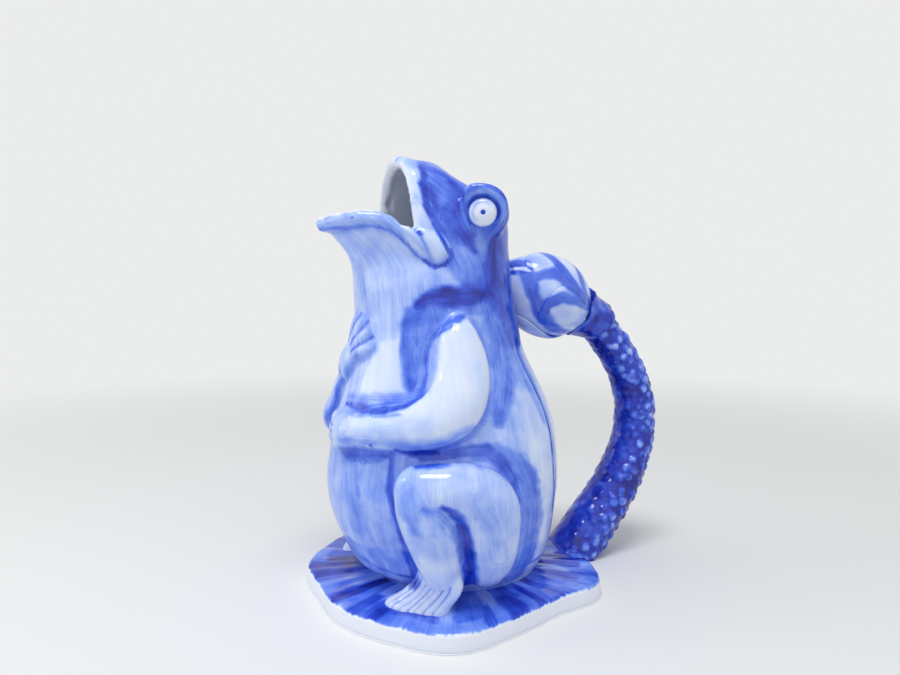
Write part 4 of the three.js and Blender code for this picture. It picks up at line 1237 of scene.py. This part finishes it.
for number, node in enumerate(clay_names):
    bm = luted_bm.copy()
    others = [face for face, owner in zip(bm.faces, face_owner) if owner != number]
    bmesh.ops.delete(bm, geom=others, context="FACES")
    for vert in bm.verts[:]:
        rims = [edge for edge in vert.link_edges if edge.is_boundary]
        if len(rims) > 2:
            bmesh.utils.vert_separate(vert, rims)
    for edge in bm.edges:
        edge.smooth = not edge.is_boundary
    shading_layer = bm.verts.layers.float_vector["shading"]
    inner = bmesh.ops.extrude_face_region(bm, geom=bm.faces[:], use_keep_orig=True)["geom"]
    for item in inner:
        if isinstance(item, bmesh.types.BMVert):
            item.co -= item[shading_layer] * LUMP_SKIN
    bmesh.ops.recalc_face_normals(bm, faces=bm.faces)
    if node.endswith("_foot"):
        bmesh.ops.subdivide_edges(bm, edges=bm.edges[:], cuts=FOOT_CUTS, use_grid_fill=True)
    piece = painted_piece(mesh_of(bm, node), node)
    shading = np.empty(len(piece.data.vertices) * 3, np.float32)
    piece.data.attributes["shading"].data.foreach_get("vector", shading)
    piece.data.normals_split_custom_set_from_vertices(shading.reshape(-1, 3).tolist())

# Eyeballs: flattened balls of white clay, pressed into the lids and pierced in the middle.
# Each has a pale blue ring round the pierced hole.
EYEBALL_BULGE = 3.6 * MM
EYEBALL_OUT = 0.4 * MM
EYEBALL_FACES = 96
EYEBALL_TONE = 0.04
PUPIL_RADIUS = 1.6 * MM
PUPIL_DEPTH = 1.5 * MM
PUPIL_TONE = 0.8
PUPIL_FADE = (0.5, 1.0)
# The ring is strongest above and in front, and the ball is shaded at its rim
IRIS_RADIUS = 5.3 * MM
IRIS_WIDTH = 0.9 * MM
IRIS_EXTRA = 0.3
IRIS_FADE = np.array((-4, 3)) * MM
RIM_EXTRA = 0.25
RIM_FADE = (0.88, 1)
for word, side in SIDES.items():
    socket, gaze, upward, back = eye_frame(side)
    bm = bmesh.new()
    bmesh.ops.create_uvsphere(bm, u_segments=EYEBALL_FACES, v_segments=EYEBALL_FACES, radius=1)
    for vert in bm.verts:
        reach = math.hypot(vert.co.x, vert.co.y) * EYEBALL_RADIUS
        dimple = PUPIL_DEPTH * max(0, 1 - (reach / PUPIL_RADIUS) ** 2) if vert.co.z > 0 else 0
        out = EYEBALL_OUT + vert.co.z * EYEBALL_BULGE - dimple
        vert.co = socket + gaze * out + (back * vert.co.x + upward * vert.co.y) * EYEBALL_RADIUS
    bmesh.ops.recalc_face_normals(bm, faces=bm.faces)
    mesh = mesh_of(bm, word + "_eye")
    off = coordinates(mesh) - np.array(socket)
    aside, above = off @ np.array(back), off @ np.array(upward)
    reach = np.hypot(aside, above)
    iris = np.exp(-((reach - IRIS_RADIUS) / IRIS_WIDTH) ** 2) * stepped(*IRIS_FADE, above - aside)
    cobalt = EYEBALL_TONE + IRIS_EXTRA * iris + RIM_EXTRA * stepped(*RIM_FADE, reach / EYEBALL_RADIUS)
    cobalt = mixed(cobalt, PUPIL_TONE, 1 - stepped(*PUPIL_FADE, reach / PUPIL_RADIUS))
    glazed_piece(
        "glazed_" + word + "_eyeball", mesh, frog_glaze, "white_glaze", cobalt, brush_ways(aside, above),
        word + "_eyeball")

# The handle: a lily stem of solid clay, bent into a loop and luted to the pad's back edge.
# Its skin is set all over with small round knobs, closest on the sides and the outside.
# The cobalt is thick on it, and thinner on the tops of the knobs.
STEM_ROWS = evenly_keyed(np.array([
    (71.5, -17, 15.5), (97, 11, 15), (108.5, 25, 14.4), (118.5, 41, 13.6), (125, 58, 12.9),
    (127, 74, 12.4), (125.5, 88, 11.9), (119, 104, 11.4), (109.5, 118, 10.9), (99, 130, 10.4),
    (87.6, 139.2, 10),
]) * MM)
STEM_AROUND = 128
STEM_ALONG = 360
STEM_STEPS = 400
STEM_GIRTH = 12 * MM
STEM_LUMPS = 0.35
KNOB_HEIGHT = 1.35 * MM
KNOB_RADIUS = 3.3 * MM
KNOB_SIZES = (0.65, 1.15)
KNOB_FULLNESS = 0.8
KNOB_UNEVEN = 0.35
KNOB_PITCH = 5.2 * MM
KNOBS_ROUND = 11
KNOB_STRAY = 1.5 * MM
KNOBS_MISSING = 0.1
# The knobs are lower on the inside of the loop: how high they are there, and where they grow
KNOBS_INSIDE = 0.3
KNOBS_GROW = (0.05, 0.4)
# The cobalt on the stem: where the knobs' tops, the worn places and the flecks begin and are full,
# and how much these and thinner washes take off the full coat
KNOB_TOPS = (0.1, 0.85)
WORN_PLACES = (-0.5, 0.6)
FLECKS = (0.05, 0.45)
WASHED_OFF = 0.13
WORN_OFF = 0.5
WORN_LEAST = 0.1
FLECKED_OFF = 0.06
stem_shares = np.linspace(0, 1, STEM_STEPS)
stem_middles = between_rows(STEM_ROWS, stem_shares)
stem_steps = np.linalg.norm(np.diff(stem_middles[:, :2], axis=0), axis=1)
stem_run = np.concatenate([[0], np.cumsum(stem_steps)])
knob_chance = np.random.default_rng(3)
knobs = []
for row in range(int(stem_run[-1] / KNOB_PITCH)):
    for number in range(KNOBS_ROUND):
        share = (number + 0.5 * (row % 2)) / KNOBS_ROUND
        astray, along = knob_chance.uniform(-KNOB_STRAY, KNOB_STRAY, 2)
        size = knob_chance.uniform(*KNOB_SIZES)
        if knob_chance.uniform() > KNOBS_MISSING:
            knobs.append((share, astray, (row + 0.5) * KNOB_PITCH + along, size))


def knob_domes(around, run, girth, uneven):
    """The height of the knobs over the stem's skin, as a share of a whole knob."""
    domes = np.zeros(len(around))
    for share, astray, place, size in knobs:
        near = np.flatnonzero(np.abs(run - place) < 2 * KNOB_RADIUS)
        aside = ((around[near] - share + 0.5) % 1 - 0.5) * girth[near] - astray
        off = np.hypot(aside, run[near] - place) / (KNOB_RADIUS * size * uneven[near])
        domes[near] = np.maximum(domes[near], size * np.maximum(1 - off ** 2, 0) ** KNOB_FULLNESS)
    return domes


def stem_places_at(around, along):
    t = np.clip((along * (STEM_ALONG + 2) - 1) / STEM_ALONG, 0, 1)
    here = between_rows(STEM_ROWS, t)
    ahead = unit(way_along(STEM_ROWS, t)[:, :2])
    angles = 2 * math.pi * around
    run = np.interp(t, stem_shares, stem_run)
    outside = 0.5 + 0.5 * np.sin(angles)
    lumpy = np.stack([np.cos(angles) * STEM_GIRTH, np.sin(angles) * STEM_GIRTH, run], axis=1)
    uneven = 1 + KNOB_UNEVEN * wander(lumpy, 3.5 * MM, 25)
    domes = knob_domes(around, run, 2 * math.pi * here[:, 2], uneven)
    domes *= mixed(KNOBS_INSIDE, 1, stepped(*KNOBS_GROW, outside))
    radius = here[:, 2] + KNOB_HEIGHT * (domes + STEM_LUMPS * wander(lumpy, 8 * MM, 21))
    radius *= (along > 0) & (along < 1)
    across, outward = radius * np.cos(angles), radius * np.sin(angles)
    rise = here[:, 1] - outward * ahead[:, 0]
    return np.stack([across, here[:, 0] + outward * ahead[:, 1], SEAT + rise], axis=1)


stem_bm = closed_bmesh(stem_places_at, STEM_AROUND, STEM_ALONG + 2)
stem_parts = [*stem_bm.verts, *stem_bm.edges, *stem_bm.faces]
foot_rim = cut_rim(stem_bm, stem_parts, (0, 0, 0), (0, 0, 1), "clear_inner")
bmesh.ops.holes_fill(stem_bm, edges=foot_rim, sides=0)
stem_mesh = mesh_of(stem_bm, "glazed_stem")
stem_places = coordinates(stem_mesh)
stem_line = np.stack([np.zeros(STEM_STEPS), stem_middles[:, 0], stem_middles[:, 1] + SEAT], axis=1)
nearest = np.array([np.argmin(((stem_line - place) ** 2).sum(1)) for place in stem_places])
stem_lift = np.linalg.norm(stem_places - stem_line[nearest], axis=1) - stem_middles[nearest, 2]
knob_tops = stepped(*KNOB_TOPS, stem_lift / KNOB_HEIGHT)
worn = stepped(*WORN_PLACES, wander(stem_places, 4.5 * MM, 22))
washed = 0.5 + 0.5 * wander(stem_places, 15 * MM, 23)
flecks = stepped(*FLECKS, wander(stem_places, 2.4 * MM, 24))
stem_cobalt = 1.0 - WASHED_OFF * washed - WORN_OFF * knob_tops * (WORN_LEAST + worn) - FLECKED_OFF * flecks
glazed_piece(
    "glazed_stem", stem_mesh, cobalt_glaze("stem_cobalt", 0.2, 0.8), "cobalt_glaze", stem_cobalt,
    brush_ways(stem_places[:, 0], stem_run[nearest]), "handle_stem")

# The bud: an egg of clay on the stem's end, its tip against the frog's nape, wrapped in petals.
# Each petal is a thin leaf of clay whose upper edge laps over the petal above it.
# They are white, with a broad blue band along the lower edge and round the tip.
BUD_TIP = Vector((0, 23.6, 175.8)) * MM
BUD_DROOP = math.radians(22)
BUD_LENGTH = 69 * MM
BUD_RADIUS = 23 * MM
BUD_FATTEST = 0.85
BUD_FULLNESS = 0.62
BUD_AROUND = 120
BUD_ALONG = 90
PETAL_FIRST_TURN = math.radians(44)
PETAL_SPREAD = math.radians(43)
PETAL_START = 0.06
PETAL_ENDS = (0.82, 0.6, 0.76, 0.7, 0.82)
PETAL_THICK = 1.5 * MM
PETAL_LAP = 1.5 * MM
PETAL_BEDDED = 1.6 * MM
PETAL_BROAD = 1.2
PETAL_TAPER = 0.7
PETAL_ROUND = 6
PETAL_LAP_GROWS = 0.35
PETAL_AROUND = 96
PETAL_ALONG = 80
# The paint on the bud: its pale coat, how uneven that is, and how ragged the bands' edges are
BUD_TONE = 0.22
BUD_CLOUDS = 0.14
BUD_RAGGED = 0.25
BUD_MEAN_RADIUS = 0.85 * BUD_RADIUS
BUD_BRUSH_GIRTH = 0.35
bud_axis = Vector((0, -math.cos(BUD_DROOP), math.sin(BUD_DROOP)))
bud_base = BUD_TIP - bud_axis * BUD_LENGTH
bud_up = bud_axis.cross(Vector((1, 0, 0)))


def round_bud(turns, lengths, radius):
    """Points round the bud's axis: turns from above, lengths from its base, and radius."""
    middles = np.array(bud_base) + np.outer(lengths, np.array(bud_axis))
    aside = np.outer(radius * np.sin(turns), (1, 0, 0))
    return middles + aside + np.outer(radius * np.cos(turns), np.array(bud_up))


def on_bud(turns, alongs, grow):
    """Points on the egg: along runs from its base, 0, to its tip, 1, and grow is off its skin."""
    swell = np.sin(math.pi * np.clip(alongs, 0, 1) ** BUD_FATTEST) ** BUD_FULLNESS
    return round_bud(turns, alongs * BUD_LENGTH, BUD_RADIUS * swell + grow)


def bud_measures(places):
    """The turn of each point round the bud, and its share of the way from base to tip."""
    off = places - np.array(bud_base)
    return np.arctan2(off[:, 0], off @ np.array(bud_up)), off @ np.array(bud_axis) / BUD_LENGTH


def egg(around, along):
    return on_bud(2 * math.pi * around, (1 - np.cos(math.pi * along)) / 2, 0 * along)


bud_glaze = cobalt_glaze("bud_cobalt", 0.5, 0.9)
bud_layers = []
# Bands along the petals' edges: turns from above, in degrees, and millimetres from the bud's base
stroke(bud_layers, ((30, 61), (48, 58), (76, 55), (108, 49), (125, 42), (138, 31), (148, 17), (152, 6)),
       (7, 9, 9.5, 9.5, 9, 8, 7, 4), 0.7, 0.45)
stroke(bud_layers, ((82, 54), (69, 46), (61, 41.5), (66, 37), (73, 33), (80, 24), (85, 8)),
       (7, 8, 7.5, 7, 7, 6, 3), 0.68, 0.5)
stroke(bud_layers, ((6, 46), (26, 43), (46, 39), (60, 32), (68, 26), (76, 8)),
       (6, 7, 7, 6.5, 6, 3), 0.72, 0.5)
stroke(bud_layers, ((128, 38), (114, 40), (103, 38), (95, 34), (90, 26), (89, 10)),
       (5, 6.5, 7, 7, 6, 3), 0.66, 0.5)
stroke(bud_layers, ((10, 25), (26, 24), (48, 22), (62, 19), (70, 10)), (6, 8, 7, 6, 3), 0.66, 0.6)
stroke(bud_layers, ((40, 64), (61, 63), (80, 62)), (6, 9, 6), 0.84, 0.7)
stroke(bud_layers, ((172, 52), (174, 36), (166, 20)), 7, 0.62, 0.7)


def paint_bud(places):
    """The cobalt on each point of the bud, and the way of the brush there."""
    turns, alongs = bud_measures(places)
    degrees, run = np.degrees(turns), alongs * BUD_LENGTH / MM
    girth = np.full(len(places), BUD_MEAN_RADIUS / MM)
    brush = np.stack([degrees * BUD_BRUSH_GIRTH, run, np.zeros(len(run))], axis=1)
    ragged = BUD_RAGGED * wander(places, 5 * MM, 31)
    cobalt = BUD_TONE + BUD_CLOUDS * wander(places, 9 * MM, 32)
    lay(bud_layers, degrees, run, girth, ragged, cobalt, brush)
    return cobalt, brush


def bud_piece(bm, name, node):
    mesh = mesh_of(bm, name)
    glazed_piece(name, mesh, bud_glaze, "white_glaze", *paint_bud(coordinates(mesh)), node)


bud_piece(closed_bmesh(egg, BUD_AROUND, BUD_ALONG), "glazed_bud_core", "bud_core")


def petal(middle_turn, end):
    """A thin leaf that lies on the egg, pointed at its base and round at its tip."""
    def petal_points(around, along):
        angles = 2 * math.pi * around
        t = (1 - np.cos(math.pi * along)) / 2
        broad = PETAL_BROAD * t ** PETAL_TAPER * np.sqrt(np.maximum(1 - t ** PETAL_ROUND, 0))
        aside, over = np.cos(angles), np.sin(angles)
        crown = np.where(over > 0, PETAL_THICK * np.abs(over) ** 0.5, PETAL_BEDDED * over)
        lapped = -PETAL_LAP * aside * stepped(0, PETAL_LAP_GROWS, t)
        return on_bud(
            middle_turn + PETAL_SPREAD * broad * aside, PETAL_START + (end - PETAL_START) * t,
            (crown + lapped) * np.minimum(broad, 1) ** 0.5)
    return closed_bmesh(petal_points, PETAL_AROUND, PETAL_ALONG)


for number, end in enumerate(PETAL_ENDS):
    name = "petal_" + str(number + 1)
    leaf = petal(PETAL_FIRST_TURN + 2 * math.pi * number / len(PETAL_ENDS), end)
    bud_piece(leaf, "glazed_" + name, "bud_" + name)

# The calyx: a short cup of clay leaves that hides where bud and stem meet.
# Its leaves lap a little over the bud, and their tips run down the stem.
CALYX_ROWS = evenly_keyed(np.array([
    (-15, 8), (-14, 11), (-9, 12.2), (-4, 12.9), (1, 13.8), (4.5, 14.8), (6.3, 15.6), (7, 15), (5.5, 12),
]) * MM)
CALYX_LEAVES = 5
CALYX_LOBE = 1.3 * MM
CALYX_LOBES = (-0.7, 1)
CALYX_TILT = 2.3 * MM
CALYX_LOBES_GROW = (0.1, 0.8)
CALYX_TILT_GROWS = (0.3, 0.7)
CALYX_CREASE = 0.9 * MM
CALYX_CREASE_GROWS = (0, 0.2)
CALYX_CREASE_ENDS = (0.9, 1)
CALYX_ROUGH = 0.5 * MM
CALYX_TONE = 0.84
CALYX_CLOUDS = 0.24
CALYX_AROUND = 110
CALYX_ALONG = 50


def calyx_points(around, along):
    t = np.clip((along * (CALYX_ALONG + 2) - 1) / CALYX_ALONG, 0, 1)
    here = between_rows(CALYX_ROWS, t)
    turns = 2 * math.pi * around
    lobes = np.cos(CALYX_LEAVES * turns) * mixed(*CALYX_LOBES, stepped(*CALYX_LOBES_GROW, t)) * CALYX_LOBE
    lobes -= CALYX_TILT * np.cos(turns) * stepped(*CALYX_TILT_GROWS, t)
    creased = CALYX_CREASE * np.sqrt(np.abs(np.cos(CALYX_LEAVES * turns / 2)))
    creased *= stepped(*CALYX_CREASE_GROWS, t) * (1 - stepped(*CALYX_CREASE_ENDS, t))
    lengths = here[:, 0] + lobes
    radius = here[:, 1] + creased
    radius += wander(round_bud(turns, lengths, radius), 5 * MM, 51) * CALYX_ROUGH
    return round_bud(turns, lengths, radius * ((along > 0) & (along < 1)))


calyx_mesh = mesh_of(closed_bmesh(calyx_points, CALYX_AROUND, CALYX_ALONG + 2), "glazed_calyx")
calyx_places = coordinates(calyx_mesh)
calyx_turns, calyx_alongs = bud_measures(calyx_places)
calyx_tones = CALYX_TONE + CALYX_CLOUDS * wander(calyx_places, 6 * MM, 52)
glazed_piece(
    "glazed_calyx", calyx_mesh, cobalt_glaze("calyx_cobalt", 0.4, 1.0), "cobalt_glaze", calyx_tones,
    brush_ways(calyx_turns * BUD_RADIUS, calyx_alongs * BUD_LENGTH), "bud_calyx")

# The stage: a plain pale floor and backdrop, and soft studio lamps round the jug.
# A wide box in front of the frog lights its chest, with a small one over it for a glint, and broad
# boxes above and beside it fill the shade.
FLOOR_SIZE = 6
FLOOR_DROP = 0.2 * MM
FLOOR_ROUGHNESS = 0.7
FLOOR_FADES = (0.25, 1.1)
FLOOR_COLOUR = (0.80, 0.80, 0.79, 1)
BACKDROP_COLOUR = (0.83, 0.84, 0.84, 1)
SKY_COLOUR = (0.93, 0.96, 1.0, 1)
SKY_LEVEL = 0.45
JUG_MIDDLE = Vector((0, 0, 0.12))


def in_view(paint):
    """1 where the camera looks, also by way of gloss or glass, and 0 for the rays that light the jug."""
    kinds = ("Camera", "Glossy", "Transmission")
    camera, gloss, glass = (paint.node("LightPath", {}, {}, "Is " + kind + " Ray") for kind in kinds)
    return camera + gloss + glass


floor_bm = bmesh.new()
bmesh.ops.create_grid(floor_bm, x_segments=1, y_segments=1, size=FLOOR_SIZE)
bmesh.ops.translate(floor_bm, verts=floor_bm.verts, vec=(0, 0, -FLOOR_DROP))
floor = bpy.data.objects.new("floor", mesh_of(floor_bm, "floor"))
bpy.context.scene.collection.objects.link(floor)
floor_finish = bpy.data.materials.new("pale_floor")
floor_finish.use_nodes = True
floor_finish.node_tree.nodes.clear()
ground = Paint(floor_finish.node_tree)
# Away from the jug the floor passes into the backdrop, in view and in reflections alone
floor_place = ground.node("TexCoord", {}, {}, "Object")
from_jug = ground.node("VectorMath", {"operation": "LENGTH"}, {0: floor_place}, "Value")
far_off = ground.node("MapRange", {"interpolation_type": "SMOOTHSTEP"}, {
    "Value": from_jug, "From Min": FLOOR_FADES[0], "From Max": FLOOR_FADES[1]})
matt = ground.node("BsdfPrincipled", {}, {"Base Color": FLOOR_COLOUR, "Roughness": FLOOR_ROUGHNESS})
glow = ground.node("Emission", {}, {"Color": BACKDROP_COLOUR, "Strength": 1.0})
faded = in_view(ground) * far_off
ground.node("OutputMaterial", {}, {"Surface": ground.node("MixShader", {}, {0: faded, 1: matt, 2: glow})})
floor.data.materials.append(floor_finish)


def softbox(name, place, size, watts):
    """A soft lamp of this width and height at a place, turned to the jug."""
    lamp = bpy.data.lights.new(name, "AREA")
    lamp.shape = "RECTANGLE"
    lamp.size, lamp.size_y = size
    lamp.energy = watts
    box = bpy.data.objects.new(name, lamp)
    box.location = place
    box.rotation_euler = (JUG_MIDDLE - Vector(place)).to_track_quat("-Z", "Y").to_euler()
    bpy.context.scene.collection.objects.link(box)


softbox("window", (-0.22, -1.15, 0.5), (1.4, 0.7), 4.6)
softbox("glint", (-0.3, -1.0, 0.8), (0.14, 0.14), 0.5)
softbox("overhead", (0.35, -0.2, 1.3), (0.6, 0.4), 8.5)
softbox("side", (1.5, 0.2, 0.9), (2.6, 1.8), 6)
world = bpy.data.worlds.new("studio")
world.use_nodes = True
world.node_tree.nodes.clear()
air = Paint(world.node_tree)
sky = air.node("Background", {}, {"Color": SKY_COLOUR, "Strength": SKY_LEVEL})
backdrop = air.node("Background", {}, {"Color": BACKDROP_COLOUR, "Strength": 1.0})
seen = in_view(air)
air.node("OutputWorld", {}, {"Surface": air.node("MixShader", {}, {0: seen, 1: sky, 2: backdrop})})
bpy.context.scene.world = world
bpy.context.scene.view_settings.view_transform = "Standard"

# The camera: level with the frog's chest, on its left and a little to the front.
# It stands close to the jug, so its lens is wide.
CAMERA_PLACE = (0.3551, -0.1612, 0.165)
CAMERA_LENS = 27.6
CAMERA_WIDTH = 36
CAMERA_TURN = math.radians(66)
CAMERA_DIP = math.radians(3.9)
camera = bpy.data.cameras.new("camera")
camera.lens = CAMERA_LENS
camera.sensor_width = CAMERA_WIDTH
camera_holder = bpy.data.objects.new("camera", camera)
camera_holder.location = CAMERA_PLACE
look = Vector((
    -math.sin(CAMERA_TURN) * math.cos(CAMERA_DIP), math.cos(CAMERA_TURN) * math.cos(CAMERA_DIP),
    -math.sin(CAMERA_DIP)))
camera_holder.rotation_euler = look.to_track_quat("-Z", "Y").to_euler()
bpy.context.scene.collection.objects.link(camera_holder)
bpy.context.scene.camera = camera_holder
